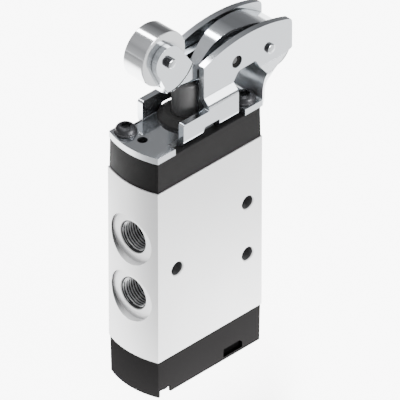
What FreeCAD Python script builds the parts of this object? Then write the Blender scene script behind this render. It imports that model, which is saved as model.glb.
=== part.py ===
import FreeCAD, Part
import math
import os
from FreeCAD import Vector

os.makedirs("parts", exist_ok=True)

# A five-port air valve worked by a roller lever. Millimetres. The origin is the middle of the
# underside, +Z points up the valve, the two working ports face -Y and the flat sides face +X and -X.

# Valve body: an upright block with two flat sides and two gently curved ends
BODY_WIDTH = 20.0
BODY_DEPTH = 41.0
END_BULGE = 1.9
BASE_CAP_HEIGHT = 12.5
BODY_HEIGHT = 58.0
TOP_CAP_HEIGHT = 10.0
CAP_INSET = 0.27
CAP_DRAFT = 0.15
GASKET_THICKNESS = 0.8
GASKET_MARGIN = 2.0
GASKET_WIDTH = 1.4

# Ports, pitched along the spool
PORT_PITCH = 9.7
PORT_MINOR_RADIUS = 4.283
PORT_THREAD_LENGTH = 9.0
PORT_CHAMFER_RADIUS = 5.1
PORT_CHAMFER_DEPTH = 0.75
SPOT_FACE_RADIUS = 8.0
PORT_FLOW_RADIUS = 3.1

# Through holes across the flat sides
MOUNT_HOLE_RADIUS = 2.15
FRONT_MOUNT_INSET = 7.6
REAR_MOUNT_INSET = 5.6
REAR_MOUNT_SPACING = 17.7

# Spool, its bore and the sealing stack
BORE_RADIUS = 7.0
SEAL_INNER_RADIUS = 4.5
SEAL_HEIGHT = 2.5
CAGE_INNER_RADIUS = 4.6
CAGE_CLEARANCE = 0.03
CAGE_WINDOW_RADIUS = 2.0
CAGE_WINDOWS = 6
LAND_RADIUS = 4.4
NECK_RADIUS = 2.6
LAND_OVERLAP = 0.2
LAND_CHAMFER = 0.3
STROKE = 2.75
SPOOL_PAST_BODY = 1.5

# Plunger and the black guide that it slides in
PLUNGER_RADIUS = 3.9
PLUNGER_CLEARANCE = 0.06
PLUNGER_RISE = 13.0
PLUNGER_DOME_RADIUS = 8.0
SHOULDER_RADIUS = 4.8
SHOULDER_HEIGHT = 2.0
SHOULDER_CHAMFER = 0.4
SHOULDER_GAP = 0.2
GUIDE_FLANGE_RADIUS = 7.85
GUIDE_FLANGE_EDGE = 0.9
GUIDE_FLANGE_HEIGHT = 2.3
GUIDE_SHANK_RADIUS = 6.0
GUIDE_SEAT_CLEARANCE = 0.1
WIPER_RADIUS = 5.3
WIPER_HEIGHT = 1.1

# Return spring in the base cap
SPRING_SEAT_Z = 3.6
SPRING_MEAN_RADIUS = 3.1
SPRING_WIRE_RADIUS = 0.4
SPRING_SEAT_GAP = 0.02
SPRING_TURNS = 5.0
SPRING_ROOM = 0.6

# Pocket under the front of the base cap and the recess low on its flat side
POCKET_DEPTH = 2.1
POCKET_LENGTH = 4.8
POCKET_SKIRT = 1.1
POCKET_SIDE_WALL = 1.4
NOTCH_LENGTH = 4.2
RECESS_DEPTH = 1.3
RECESS_LENGTH = 7.5
RECESS_HEIGHT = 2.8
RECESS_RISE = 0.9
RECESS_SLOPE = 1.0
RECESS_FROM_END = 7.3

# Sheet bracket: base plate, two joggled side flaps and a hoop that runs round behind the lever.
# Heights are above the top of the plate.
SHEET = 2.0
FLAP_INSET = 0.8
FLAP_BEND_RADIUS = 1.5
JOGGLE_BEND_RADIUS = 1.3
CHEEK_STEP_IN = 2.15
FLAP_RISE = 5.8
JOGGLE_LOW = 6.6
JOGGLE_HIGH = 8.7
FLAP_FRONT_Y = -9.6
FLAP_REAR_Y = 12.0
PLATE_FRONT_TAB = 7.2
PLATE_REAR_TAB = 4.9
PLATE_WAIST = 3.4
VENT_RADIUS = 1.5
VENT_INSET = 3.8
VENT_DEPTH = 3.5
WINDOW_HALF_LENGTH = 2.8
WINDOW_MIDDLE_Y = 1.55
WINDOW_SLOPE = 1.8
WINDOW_RISE = 1.3
CHEEK_FRONT_Y = 0.45
CHEEK_FRONT_RISE = 19.4
CHEEK_CREST_Y = 17.5
CHEEK_CREST_RISE = 22.7
CHEEK_REAR_Y = 35.2
CHEEK_REAR_RISE = 19.4
CHEEK_REAR_CORNER = 1.5
CHEEK_REAR_HEIGHT = 9.6
CHEEK_HEEL_CUT = 3.0
CHEEK_TIP_Y = 23.9
CHEEK_TIP_RISE = 6.7
CHEEK_ARCH_Y = 20.7
CHEEK_ARCH_LENGTH = 6.7
CHEEK_ARCH_RISE = 12.0
BUTTON_Y = 13.4
BUTTON_RISE = 15.3
BUTTON_RADIUS = 1.95
BUTTON_RECESS = 0.65
HOOP_WALL_OUT = 1.4
HOOP_SHELF_RISE = 4.8
HOOP_SHELF_BEND = 3.0
HOOP_REAR_Y = 36.0
HOOP_REAR_RADIUS = 5.0
HOOP_BACK_RISE = 14.1
HOOP_BROW_Y = 24.8
HOOP_BROW_RISE = 21.3
HOOP_BROW_RADIUS = 21.0
HOOP_FRONT_Y = 10.9
HOOP_FRONT_RISE = 22.6
HOOP_FRONT_RADIUS = 8.0
HOOP_TIP_Y = 4.0
HOOP_TIP_RISE = 15.3
HOOP_HALF_WIDTH = 4.8
HOOP_TIP_HALF_WIDTH = 1.5
HOOP_WIDENS_UNTIL_Y = 29.5
HOOP_SPLIT_RISE = 9.5

# Screws that hold the bracket, the top cap and the base cap
SCREW_SIDE_INSET = 3.9
SCREW_END_INSET = 3.25
SCREW_RADIUS = 1.5
SCREW_CLEARANCE = 0.1
SCREW_HEAD_RADIUS = 3.3
SCREW_CROWN_RADIUS = 3.0
SCREW_FLANGE_HEIGHT = 0.6
SCREW_HEAD_HEIGHT = 2.4
SCREW_BITE = 4.0
SCREW_RECESS_RADIUS = 1.65
SCREW_RECESS_DEPTH = 1.2
BASE_SCREW_END_INSET = 4.0
BASE_SCREW_HEAD_RADIUS = 2.75
BASE_SCREW_HEAD_HEIGHT = 2.0
BASE_SCREW_SINK = 1.0
BASE_SCREW_RECESS_RADIUS = 1.3

# Lever, its pivot and the roller. Heights are above the top of the plate.
PIVOT_Y = 26.2
PIVOT_RISE = 13.8
PIVOT_RADIUS = 1.5
PIVOT_STAND_OUT = 0.9
PIVOT_SLEEVE_WALL = 1.2
LEVER_SIDE_GAP = 0.35
LEVER_STEP_OUT = 1.15
LEVER_TOP_RISE = 17.9
LEVER_END_RADIUS = 4.9
LEVER_TAIL_RADIUS = 4.15
LEVER_STEP_RADIUS = 10.75
LEVER_POCKET_RADIUS = 9.3
LEVER_FRONT_LEAN = 25.3
LEVER_BACK_LEAN = 35.0
LEVER_TOE_RISE = 15.1
LEVER_KNEE_Y = 2.0
LEVER_KNEE_RISE = 12.9
LEVER_BELLY_Y = 13.5
LEVER_BELLY_RISE = 9.3
LEVER_HOCK_Y = 21.0
LEVER_HOCK_RISE = 9.0
LEVER_BEND_RADIUS = 2.2
LEVER_INNER_BEND_RADIUS = 0.6
LEVER_OPEN_FROM_PIVOT = 3.7
ROLLER_Y = -12.0
ROLLER_RISE = 26.9
ROLLER_RADIUS = 8.5
ROLLER_SIDE_GAP = 0.1
ROLLER_CHAMFER = 0.35
ROLLER_PIN_RADIUS = 1.58
ROLLER_PIN_STAND_OUT = 1.5
PIN_CHAMFER = 0.3
BUSH_RADIUS = 3.0
RUNNING_CLEARANCE = 0.05

# Levels that follow from the heights
BODY_BOTTOM = BASE_CAP_HEIGHT
BODY_TOP = BODY_BOTTOM + BODY_HEIGHT
CAP_TOP = BODY_TOP + TOP_CAP_HEIGHT
PLATE_TOP = CAP_TOP + SHEET
BODY_MIDDLE = BODY_BOTTOM + BODY_HEIGHT / 2
PORT_HEIGHTS = [BODY_MIDDLE + step * PORT_PITCH for step in (-2, -1, 0, 1, 2)]
SEAL_HEIGHTS = [BODY_MIDDLE + step * PORT_PITCH for step in (-2.5, -1.5, -0.5, 0.5, 1.5, 2.5)]
CAP_WIDTH = BODY_WIDTH - 2 * CAP_INSET
CAP_DEPTH = BODY_DEPTH - 2 * CAP_INSET
SPOOL_BOTTOM = BODY_BOTTOM + SPOOL_PAST_BODY
PLUNGER_BOTTOM = BODY_TOP + SPOOL_PAST_BODY
PLUNGER_TOP = PLATE_TOP + PLUNGER_RISE
PIVOT_Z = PLATE_TOP + PIVOT_RISE
BUTTON_Z = PLATE_TOP + BUTTON_RISE
ROLLER_Z = PLATE_TOP + ROLLER_RISE
LEVER_TOP_Z = PLATE_TOP + LEVER_TOP_RISE

# Places that follow from the body's outline
FRONT_MOUNT_Y = FRONT_MOUNT_INSET - BODY_DEPTH / 2
REAR_MOUNT_Y = BODY_DEPTH / 2 - REAR_MOUNT_INSET
SCREW_X = BODY_WIDTH / 2 - SCREW_SIDE_INSET
SCREW_Y = BODY_DEPTH / 2 - SCREW_END_INSET
BASE_SCREW_Y = BODY_DEPTH / 2 - BASE_SCREW_END_INSET
VENT_Y = VENT_INSET - BODY_DEPTH / 2
FLAP_OUTER_X = BODY_WIDTH / 2 - FLAP_INSET
CHEEK_OUTER_X = FLAP_OUTER_X - CHEEK_STEP_IN
LEVER_WALL_X = CHEEK_OUTER_X - SHEET - LEVER_SIDE_GAP
LEVER_FRONT_WALL_X = LEVER_WALL_X + LEVER_STEP_OUT
ROLLER_WIDTH = 2 * (LEVER_FRONT_WALL_X - SHEET - ROLLER_SIDE_GAP)
WAIST_X = BODY_WIDTH / 2 - PLATE_WAIST
SCREW_LENGTH = SHEET + TOP_CAP_HEIGHT + SCREW_BITE
HOOP_WALL_Y = BODY_DEPTH / 2 + HOOP_WALL_OUT
TOO_LONG = 300.0
X_AXIS = Vector(1, 0, 0)
Y_AXIS = Vector(0, 1, 0)
Z_AXIS = Vector(0, 0, 1)


def save(name, shape):
    """Writes one sub-part and reports its size."""
    shape = shape.removeSplitter()
    print(name, "solids", len(shape.Solids), "valid", shape.isValid(), "volume", round(shape.Volume, 2))
    shape.exportStep("parts/" + name + ".step")


def rod(radius, length, start, direction=Z_AXIS):
    return Part.makeCylinder(radius, length, start, direction)


def tube(outer, inner, length, start, direction=Z_AXIS):
    back = start - direction
    return rod(outer, length, start, direction).cut(rod(inner, length + 2, back, direction))


def block(x0, x1, y0, y1, z0, z1):
    return Part.makeBox(x1 - x0, y1 - y0, z1 - z0, Vector(x0, y0, z0))


def fuse_all(shapes):
    return shapes[0].multiFuse(shapes[1:]).removeSplitter()


def mirror_x(shape):
    return shape.mirror(Vector(0, 0, 0), X_AXIS)


def end_curved_wire(width, depth, z, bulge=END_BULGE):
    """Outline with straight sides and curved ends, at height z."""
    w = width / 2
    d = depth / 2
    front = Part.Arc(Vector(-w, -d, z), Vector(0, -d - bulge, z), Vector(w, -d, z)).toShape()
    side = Part.makeLine(Vector(w, -d, z), Vector(w, d, z))
    rear = Part.Arc(Vector(w, d, z), Vector(0, d + bulge, z), Vector(-w, d, z)).toShape()
    other = Part.makeLine(Vector(-w, d, z), Vector(-w, -d, z))
    return Part.Wire([front, side, rear, other])


def end_curved_prism(width, depth, z0, z1):
    return Part.Face(end_curved_wire(width, depth, z0)).extrude(Vector(0, 0, z1 - z0))


def rounded_outline(corners):
    """Closed wire through 3-D corner points, each given as (point, radius)."""
    edges = []
    ends = []
    count = len(corners)
    for index in range(count):
        point, radius = corners[index]
        back = (corners[index - 1][0] - point).normalize()
        ahead = (corners[(index + 1) % count][0] - point).normalize()
        if radius <= 0:
            ends.append((point, point))
            continue
        half = math.acos(max(-1.0, min(1.0, back.dot(ahead)))) / 2
        reach = radius / math.tan(half)
        middle = (back + ahead).normalize()
        centre = point + middle * (radius / math.sin(half))
        first = point + back * reach
        last = point + ahead * reach
        edges.append(Part.Arc(first, centre - middle * radius, last).toShape())
        ends.append((first, last))
    for index in range(count):
        start = ends[index][1]
        end = ends[(index + 1) % count][0]
        if (end - start).Length > 1e-6:
            edges.append(Part.makeLine(start, end))
    return Part.Wire(Part.__sortEdges__(edges))


def sheet_outline(path, radii, thickness, normal):
    """Closed outline of a bent strip whose middle follows the path in the plane across normal."""
    half = thickness / 2
    sides = ([], [])
    last = len(path) - 1
    for index, point in enumerate(path):
        into = (point - path[index - 1]).normalize() if index > 0 else None
        out = (path[index + 1] - point).normalize() if index < last else None
        if into is None or out is None:
            across = normal.cross(into or out) * half
            sides[0].append((point + across, 0))
            sides[1].append((point - across, 0))
            continue
        left_in = normal.cross(into)
        left_out = normal.cross(out)
        mitre = (left_in + left_out).normalize()
        reach = half / mitre.dot(left_in)
        turns_left = into.cross(out).dot(normal) > 0
        inner_side = -half if turns_left else half
        radius = radii[index]
        sides[0].append((point + mitre * reach, max(radius + inner_side, 0.05)))
        sides[1].append((point - mitre * reach, max(radius - inner_side, 0.05)))
    return rounded_outline(sides[0] + sides[1][::-1])


def yz_slab(wire, half_width):
    """Solid from an outline in the YZ plane, the same distance to each side."""
    face = Part.Face(wire)
    face.translate(Vector(-half_width, 0, 0))
    return face.extrude(Vector(2 * half_width, 0, 0))


def along_x(radius, half_length, y, z):
    return rod(radius, 2 * half_length, Vector(-half_length, y, z), X_AXIS)


def port_cutter(side, z):
    """Threaded port on the front (side -1) or rear (side +1): spot face, lead-in, thread bore, flow hole."""
    face_y = BODY_DEPTH / 2
    inward = Vector(0, -side, 0)
    mouth = Vector(0, side * face_y, z)
    outside = Vector(0, side * (face_y + END_BULGE + 1), z)
    spot = rod(SPOT_FACE_RADIUS, END_BULGE + 1, outside, inward)
    lead_in = Part.makeCone(PORT_CHAMFER_RADIUS, PORT_MINOR_RADIUS, PORT_CHAMFER_DEPTH, mouth, inward)
    thread = rod(PORT_MINOR_RADIUS, PORT_THREAD_LENGTH + PORT_CHAMFER_DEPTH, mouth, inward)
    flow = rod(PORT_FLOW_RADIUS, face_y, mouth, inward)
    return spot.multiFuse([lead_in, thread, flow])


def screw_places(y, sign):
    return [(sign * SCREW_X, -y), (-sign * SCREW_X, y)]


def valve_body():
    body = end_curved_prism(BODY_WIDTH, BODY_DEPTH, BODY_BOTTOM, BODY_TOP)
    cutters = [rod(BORE_RADIUS, BODY_HEIGHT + 2, Vector(0, 0, BODY_BOTTOM - 1))]
    for z in (PORT_HEIGHTS[1], PORT_HEIGHTS[3]):
        cutters.append(port_cutter(-1, z))
    for z in (PORT_HEIGHTS[0], PORT_HEIGHTS[2], PORT_HEIGHTS[4]):
        cutters.append(port_cutter(1, z))
    for y, z in mount_hole_places():
        cutters.append(along_x(MOUNT_HOLE_RADIUS, BODY_WIDTH, y, z))
    for x, y in screw_places(SCREW_Y, -1):
        cutters.append(rod(SCREW_RADIUS, SCREW_BITE + 0.5, Vector(x, y, BODY_TOP - SCREW_BITE)))
    for x, y in screw_places(BASE_SCREW_Y, 1):
        cutters.append(rod(SCREW_RADIUS, SCREW_BITE + 0.5, Vector(x, y, BODY_BOTTOM - 0.5)))
    for cutter in cutters:
        body = body.cut(cutter)
    return body


def mount_hole_places():
    half = REAR_MOUNT_SPACING / 2
    return [(FRONT_MOUNT_Y, BODY_MIDDLE), (REAR_MOUNT_Y, BODY_MIDDLE + half), (REAR_MOUNT_Y, BODY_MIDDLE - half)]


def base_screw_grip():
    """Length of the base cap under a base screw's head."""
    return BASE_CAP_HEIGHT - BASE_SCREW_HEAD_HEIGHT - BASE_SCREW_SINK


def gasket(z0, z1):
    outer = end_curved_prism(BODY_WIDTH - GASKET_MARGIN, BODY_DEPTH - 2 * GASKET_MARGIN, z0, z1)
    inner_width = BODY_WIDTH - GASKET_MARGIN - 2 * GASKET_WIDTH
    inner = end_curved_prism(inner_width, BODY_DEPTH - 2 * (GASKET_MARGIN + GASKET_WIDTH), z0 - 1, z1 + 1)
    ring = outer.cut(inner)
    for x, y in screw_places(SCREW_Y, -1) + screw_places(BASE_SCREW_Y, 1):
        ring = ring.cut(rod(SCREW_RADIUS + 0.3, z1 - z0 + 2, Vector(x, y, z0 - 1)))
    return ring


def drafted_cap(z_wide, z_narrow):
    """Moulded cap whose outline draws in slightly towards z_narrow."""
    wide = end_curved_wire(CAP_WIDTH, CAP_DEPTH, z_wide)
    narrow = end_curved_wire(CAP_WIDTH - 2 * CAP_DRAFT, CAP_DEPTH - 2 * CAP_DRAFT, z_narrow)
    return Part.makeLoft([wide, narrow], True, True)


def top_cap():
    cap = drafted_cap(BODY_TOP, CAP_TOP)
    cap = cap.cut(gasket(BODY_TOP - 1, BODY_TOP + GASKET_THICKNESS))
    shoulder_room = guide_bottom() - BODY_TOP
    cap = cap.cut(rod(SHOULDER_RADIUS + 0.4, shoulder_room + 1, Vector(0, 0, BODY_TOP - 1)))
    cap = cap.cut(rod(GUIDE_SHANK_RADIUS, TOP_CAP_HEIGHT, Vector(0, 0, guide_bottom())))
    for x, y in screw_places(SCREW_Y, -1):
        cap = cap.cut(rod(SCREW_RADIUS + SCREW_CLEARANCE, TOP_CAP_HEIGHT + 2, Vector(x, y, BODY_TOP - 1)))
    return cap.cut(rod(VENT_RADIUS, VENT_DEPTH + 1, Vector(0, VENT_Y, CAP_TOP - VENT_DEPTH)))


def guide_bottom():
    """Underside of the plunger guide, just above the plunger's shoulder."""
    return PLUNGER_BOTTOM + SHOULDER_HEIGHT + SHOULDER_GAP


def base_cap():
    cap = drafted_cap(BODY_BOTTOM, 0)
    cap = cap.cut(gasket(BODY_BOTTOM - GASKET_THICKNESS, BODY_BOTTOM + 1))
    cap = cap.cut(rod(LAND_RADIUS + SPRING_ROOM, BODY_BOTTOM, Vector(0, 0, SPRING_SEAT_Z)))
    for x, y in screw_places(BASE_SCREW_Y, 1):
        cap = cap.cut(rod(SCREW_RADIUS + SCREW_CLEARANCE, BODY_BOTTOM + 2, Vector(x, y, -1)))
        head_room = BODY_BOTTOM - base_screw_grip()
        cap = cap.cut(rod(BASE_SCREW_HEAD_RADIUS + 0.2, head_room + 1, Vector(x, y, -1)))
    # Shallow pocket under the front, open to the flat side through a notch in the bottom edge
    side = CAP_WIDTH / 2
    front = POCKET_SKIRT - BODY_DEPTH / 2
    pocket = block(2 * POCKET_SIDE_WALL - side, side - POCKET_SIDE_WALL, front, front + POCKET_LENGTH, -1, POCKET_DEPTH)
    notch = block(side - 2 * POCKET_SIDE_WALL, side + 1, front, front + NOTCH_LENGTH, -1, POCKET_DEPTH)
    # Long recess low on the same side with one sloping corner
    y1 = BODY_DEPTH / 2 - RECESS_FROM_END
    y0 = y1 - RECESS_LENGTH
    z0 = RECESS_RISE
    z1 = z0 + RECESS_HEIGHT
    corners = [(y0, z0), (y1, z0), (y1, z1 - RECESS_SLOPE), (y1 - RECESS_SLOPE, z1), (y0, z1)]
    slot_face = Part.Face(rounded_outline([(Vector(side + 1, y, z), 0.2) for y, z in corners]))
    slot = slot_face.extrude(Vector(-RECESS_DEPTH - 1, 0, 0))
    return cap.cut(pocket).cut(notch).cut(slot)


def cage_stack():
    """Perforated spacer rings that hold the seals apart, one round each port and one at each end."""
    outer = BORE_RADIUS - CAGE_CLEARANCE
    rings = []
    half = (PORT_PITCH - SEAL_HEIGHT) / 2
    for z in PORT_HEIGHTS:
        ring = tube(outer, CAGE_INNER_RADIUS, 2 * half, Vector(0, 0, z - half))
        for turn in range(CAGE_WINDOWS):
            angle = math.radians(360 / CAGE_WINDOWS * turn + 90)
            direction = Vector(math.cos(angle), math.sin(angle), 0)
            ring = ring.cut(rod(CAGE_WINDOW_RADIUS, BORE_RADIUS + 1, Vector(0, 0, z), direction))
        rings.append(ring)
    low_end = SEAL_HEIGHTS[0] - SEAL_HEIGHT / 2
    rings.append(tube(outer, CAGE_INNER_RADIUS, low_end - BODY_BOTTOM, Vector(0, 0, BODY_BOTTOM)))
    high_start = SEAL_HEIGHTS[-1] + SEAL_HEIGHT / 2
    rings.append(tube(outer, SHOULDER_RADIUS + 0.4, BODY_TOP - high_start, Vector(0, 0, high_start)))
    return Part.makeCompound(rings)


def spool_seals():
    """Six sealing rings, each rounded where it meets the spool."""
    minor = SEAL_HEIGHT / 2
    seals = []
    for z in SEAL_HEIGHTS:
        nose = Part.makeTorus(SEAL_INNER_RADIUS + minor, minor, Vector(0, 0, z), Z_AXIS)
        band = tube(BORE_RADIUS - CAGE_CLEARANCE, SEAL_INNER_RADIUS + minor, SEAL_HEIGHT, Vector(0, 0, z - minor))
        seals.append(nose.fuse(band).removeSplitter())
    return Part.makeCompound(seals)


def spool():
    """Turned spool: a land closes two seals at rest and the other two when pressed."""
    half = SEAL_HEIGHT / 2 + LAND_OVERLAP
    ends = [
        (SPOOL_BOTTOM, SEAL_HEIGHTS[0] + half + STROKE),
        (SEAL_HEIGHTS[5] - half, PLUNGER_BOTTOM - SPOOL_PAST_BODY),
    ]
    closed_at_rest = [(SEAL_HEIGHTS[step] - half, SEAL_HEIGHTS[step] + half) for step in (2, 4)]
    closed_when_pressed = [
        (SEAL_HEIGHTS[step] - half + STROKE, SEAL_HEIGHTS[step] + half + STROKE) for step in (1, 3)
    ]
    shape = rod(NECK_RADIUS, PLUNGER_BOTTOM - SPOOL_BOTTOM, Vector(0, 0, SPOOL_BOTTOM))
    for low, high in ends + closed_at_rest + closed_when_pressed:
        land = rod(LAND_RADIUS, high - low, Vector(0, 0, low))
        land = land.makeChamfer(LAND_CHAMFER, [e for e in land.Edges if len(e.Vertexes) == 1])
        shape = shape.fuse(land)
    return shape.removeSplitter()


def return_spring():
    height = SPOOL_BOTTOM - SPRING_SEAT_Z - 2 * SPRING_WIRE_RADIUS - 2 * SPRING_SEAT_GAP
    start_z = SPRING_SEAT_Z + SPRING_WIRE_RADIUS + SPRING_SEAT_GAP
    helix = Part.makeHelix(height / SPRING_TURNS, height, SPRING_MEAN_RADIUS)
    helix.translate(Vector(0, 0, start_z))
    ring = Part.Circle(Vector(SPRING_MEAN_RADIUS, 0, start_z), Y_AXIS, SPRING_WIRE_RADIUS).toShape()
    return Part.Wire(helix.Edges).makePipeShell([Part.Wire([ring])], True, True)


def plunger():
    """Domed stem with a shoulder that keeps it in the guide."""
    stem = rod(PLUNGER_RADIUS, PLUNGER_TOP - PLUNGER_BOTTOM, Vector(0, 0, PLUNGER_BOTTOM))
    ball = Part.makeSphere(PLUNGER_DOME_RADIUS, Vector(0, 0, PLUNGER_TOP - PLUNGER_DOME_RADIUS))
    stem = stem.common(ball)
    shoulder = rod(SHOULDER_RADIUS, SHOULDER_HEIGHT, Vector(0, 0, PLUNGER_BOTTOM))
    shoulder = shoulder.makeChamfer(SHOULDER_CHAMFER, [e for e in shoulder.Edges if len(e.Vertexes) == 1])
    return stem.fuse(shoulder).removeSplitter()


def guide_section_ring():
    """Guide turned about the stem: shank in the cap, domed flange on the plate."""
    inner = PLUNGER_RADIUS + PLUNGER_CLEARANCE
    top = PLATE_TOP + GUIDE_FLANGE_HEIGHT
    corners = [
        (Vector(inner, 0, guide_bottom()), 0),
        (Vector(GUIDE_SHANK_RADIUS, 0, guide_bottom()), 0.4),
        (Vector(GUIDE_SHANK_RADIUS, 0, PLATE_TOP), 0),
        (Vector(GUIDE_FLANGE_RADIUS, 0, PLATE_TOP), 0),
        (Vector(GUIDE_FLANGE_RADIUS, 0, PLATE_TOP + GUIDE_FLANGE_EDGE), 0.3),
        (Vector(WIPER_RADIUS + 0.5, 0, top), 0.6),
        (Vector(inner, 0, top), 0.3),
    ]
    return Part.Face(rounded_outline(corners)).revolve(Vector(0, 0, 0), Z_AXIS, 360)


def wiper_place():
    return PLATE_TOP + GUIDE_FLANGE_HEIGHT - 2 * WIPER_HEIGHT


def plunger_guide():
    groove = rod(WIPER_RADIUS, WIPER_HEIGHT, Vector(0, 0, wiper_place()))
    return Part.Solid(guide_section_ring()).cut(groove)


def wiper_seal():
    return tube(WIPER_RADIUS, PLUNGER_RADIUS + PLUNGER_CLEARANCE / 2, WIPER_HEIGHT, Vector(0, 0, wiper_place()))


def cheek_outline():
    """Side view of one flap and the cheek above it."""
    low = CAP_TOP - 1
    flap_top = PLATE_TOP + FLAP_RISE
    arch = PLATE_TOP + CHEEK_ARCH_RISE
    heel = PLATE_TOP + CHEEK_REAR_RISE - CHEEK_REAR_HEIGHT
    lower = [
        (FLAP_FRONT_Y, low, 0),
        (FLAP_FRONT_Y, flap_top, 0.8),
        (CHEEK_FRONT_Y, flap_top, 0.3),
    ]
    rear = [
        (CHEEK_REAR_Y, heel, 0.5),
        (CHEEK_REAR_Y - CHEEK_HEEL_CUT, heel - CHEEK_HEEL_CUT / 3, 1.0),
        (CHEEK_TIP_Y, PLATE_TOP + CHEEK_TIP_RISE, 0.5),
        (CHEEK_ARCH_Y, arch, 0.8),
        (CHEEK_ARCH_Y - CHEEK_ARCH_LENGTH, arch, 1.5),
        (FLAP_REAR_Y, PLATE_TOP + JOGGLE_HIGH + JOGGLE_BEND_RADIUS / 3, 0.6),
        (FLAP_REAR_Y, low, 0),
    ]
    top_left = Vector(0, CHEEK_FRONT_Y, PLATE_TOP + CHEEK_FRONT_RISE)
    crest = Vector(0, CHEEK_CREST_Y, PLATE_TOP + CHEEK_CREST_RISE)
    top_right = Vector(0, CHEEK_REAR_Y, PLATE_TOP + CHEEK_REAR_RISE)
    body = [(Vector(0, y, z), radius) for y, z, radius in lower]
    body.append((top_left, 0))
    body.append((top_right, 0))
    body += [(Vector(0, y, z), radius) for y, z, radius in rear]
    flat = yz_slab(rounded_outline(body), TOO_LONG / 2)
    crown_edge = Part.Arc(top_left, crest, top_right).toShape()
    crown = yz_slab(Part.Wire([crown_edge, Part.makeLine(top_right, top_left)]), TOO_LONG / 2)
    whole = flat.fuse(crown).removeSplitter()
    corner = [e for e in whole.Edges if e.CenterOfMass.distanceToPoint(top_right) < 0.1]
    return whole.makeFillet(CHEEK_REAR_CORNER, corner)


def cheeks():
    """Both flaps: up from the plate, then joggled inwards to the cheeks."""
    plate_z = CAP_TOP + SHEET / 2
    flap_x = FLAP_OUTER_X - SHEET / 2
    cheek_x = CHEEK_OUTER_X - SHEET / 2
    path = [
        Vector(0, FLAP_FRONT_Y, plate_z),
        Vector(flap_x, FLAP_FRONT_Y, plate_z),
        Vector(flap_x, FLAP_FRONT_Y, PLATE_TOP + JOGGLE_LOW),
        Vector(cheek_x, FLAP_FRONT_Y, PLATE_TOP + JOGGLE_HIGH),
        Vector(cheek_x, FLAP_FRONT_Y, PLATE_TOP + CHEEK_CREST_RISE + 2),
    ]
    outline = sheet_outline(path, [0, FLAP_BEND_RADIUS, JOGGLE_BEND_RADIUS, JOGGLE_BEND_RADIUS, 0], SHEET, -Y_AXIS)
    strip = Part.Face(outline).extrude(Vector(0, CHEEK_REAR_Y - FLAP_FRONT_Y, 0))
    near = strip.common(cheek_outline())
    front = WINDOW_MIDDLE_Y - WINDOW_HALF_LENGTH
    rear = WINDOW_MIDDLE_Y + WINDOW_HALF_LENGTH
    top = PLATE_TOP + WINDOW_RISE
    window = rounded_outline([
        (Vector(WAIST_X, front - WINDOW_SLOPE, CAP_TOP - 1), 0),
        (Vector(WAIST_X, front - WINDOW_SLOPE, CAP_TOP), 0),
        (Vector(WAIST_X, front, top), 0.3),
        (Vector(WAIST_X, rear, top), 0.3),
        (Vector(WAIST_X, rear + WINDOW_SLOPE / 3, CAP_TOP), 0),
        (Vector(WAIST_X, rear + WINDOW_SLOPE / 3, CAP_TOP - 1), 0),
    ])
    near = near.cut(Part.Face(window).extrude(Vector(FLAP_OUTER_X, 0, 0)))
    return [near, mirror_x(near)]


def hoop():
    """Rear wall, shelf and the tongue that curls up and forward over the lever."""
    plate_z = CAP_TOP + SHEET / 2
    shelf_z = PLATE_TOP + HOOP_SHELF_RISE
    corners = [
        (SCREW_Y - SCREW_HEAD_RADIUS, plate_z, 0),
        (HOOP_WALL_Y, plate_z, FLAP_BEND_RADIUS),
        (HOOP_WALL_Y, shelf_z, HOOP_SHELF_BEND),
        (HOOP_REAR_Y, shelf_z + SHEET / 4, HOOP_REAR_RADIUS),
        (HOOP_REAR_Y, PLATE_TOP + HOOP_BACK_RISE, HOOP_REAR_RADIUS),
        (HOOP_BROW_Y, PLATE_TOP + HOOP_BROW_RISE, HOOP_BROW_RADIUS),
        (HOOP_FRONT_Y, PLATE_TOP + HOOP_FRONT_RISE, HOOP_FRONT_RADIUS),
        (HOOP_TIP_Y, PLATE_TOP + HOOP_TIP_RISE, 0),
    ]
    path = [Vector(0, y, z) for y, z, radius in corners]
    radii = [radius for y, z, radius in corners]
    strip = yz_slab(sheet_outline(path, radii, SHEET, X_AXIS), BODY_WIDTH)
    split_z = PLATE_TOP + HOOP_SPLIT_RISE
    tip_y = HOOP_TIP_Y - SHEET
    full_y = HOOP_WIDENS_UNTIL_Y
    far_y = HOOP_REAR_Y + SHEET
    wall_x = BODY_WIDTH / 2 - CAP_INSET
    inner_y = HOOP_WALL_Y - SHEET / 2
    low_plan = plan_outline([
        (wall_x, 0),
        (wall_x, inner_y),
        (wall_x - SHEET / 2, inner_y + SHEET),
        (HOOP_HALF_WIDTH, full_y + SHEET),
        (HOOP_HALF_WIDTH, far_y),
    ])
    high_plan = plan_outline([
        (HOOP_TIP_HALF_WIDTH, tip_y),
        (HOOP_HALF_WIDTH, full_y),
        (HOOP_HALF_WIDTH, far_y),
    ])
    low = strip.common(low_plan.extrude(Vector(0, 0, split_z)))
    high_plan.translate(Vector(0, 0, split_z))
    high = strip.common(high_plan.extrude(Vector(0, 0, split_z)))
    return [low, high]


def plan_outline(half_points):
    """Face in plan, mirrored to both sides, from points given as (x, y) on the +X side."""
    right = [Vector(x, y, 0) for x, y in half_points]
    left = [Vector(-x, y, 0) for x, y in reversed(half_points)]
    return Part.Face(Part.makePolygon(right + left + [right[0]]))


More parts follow.
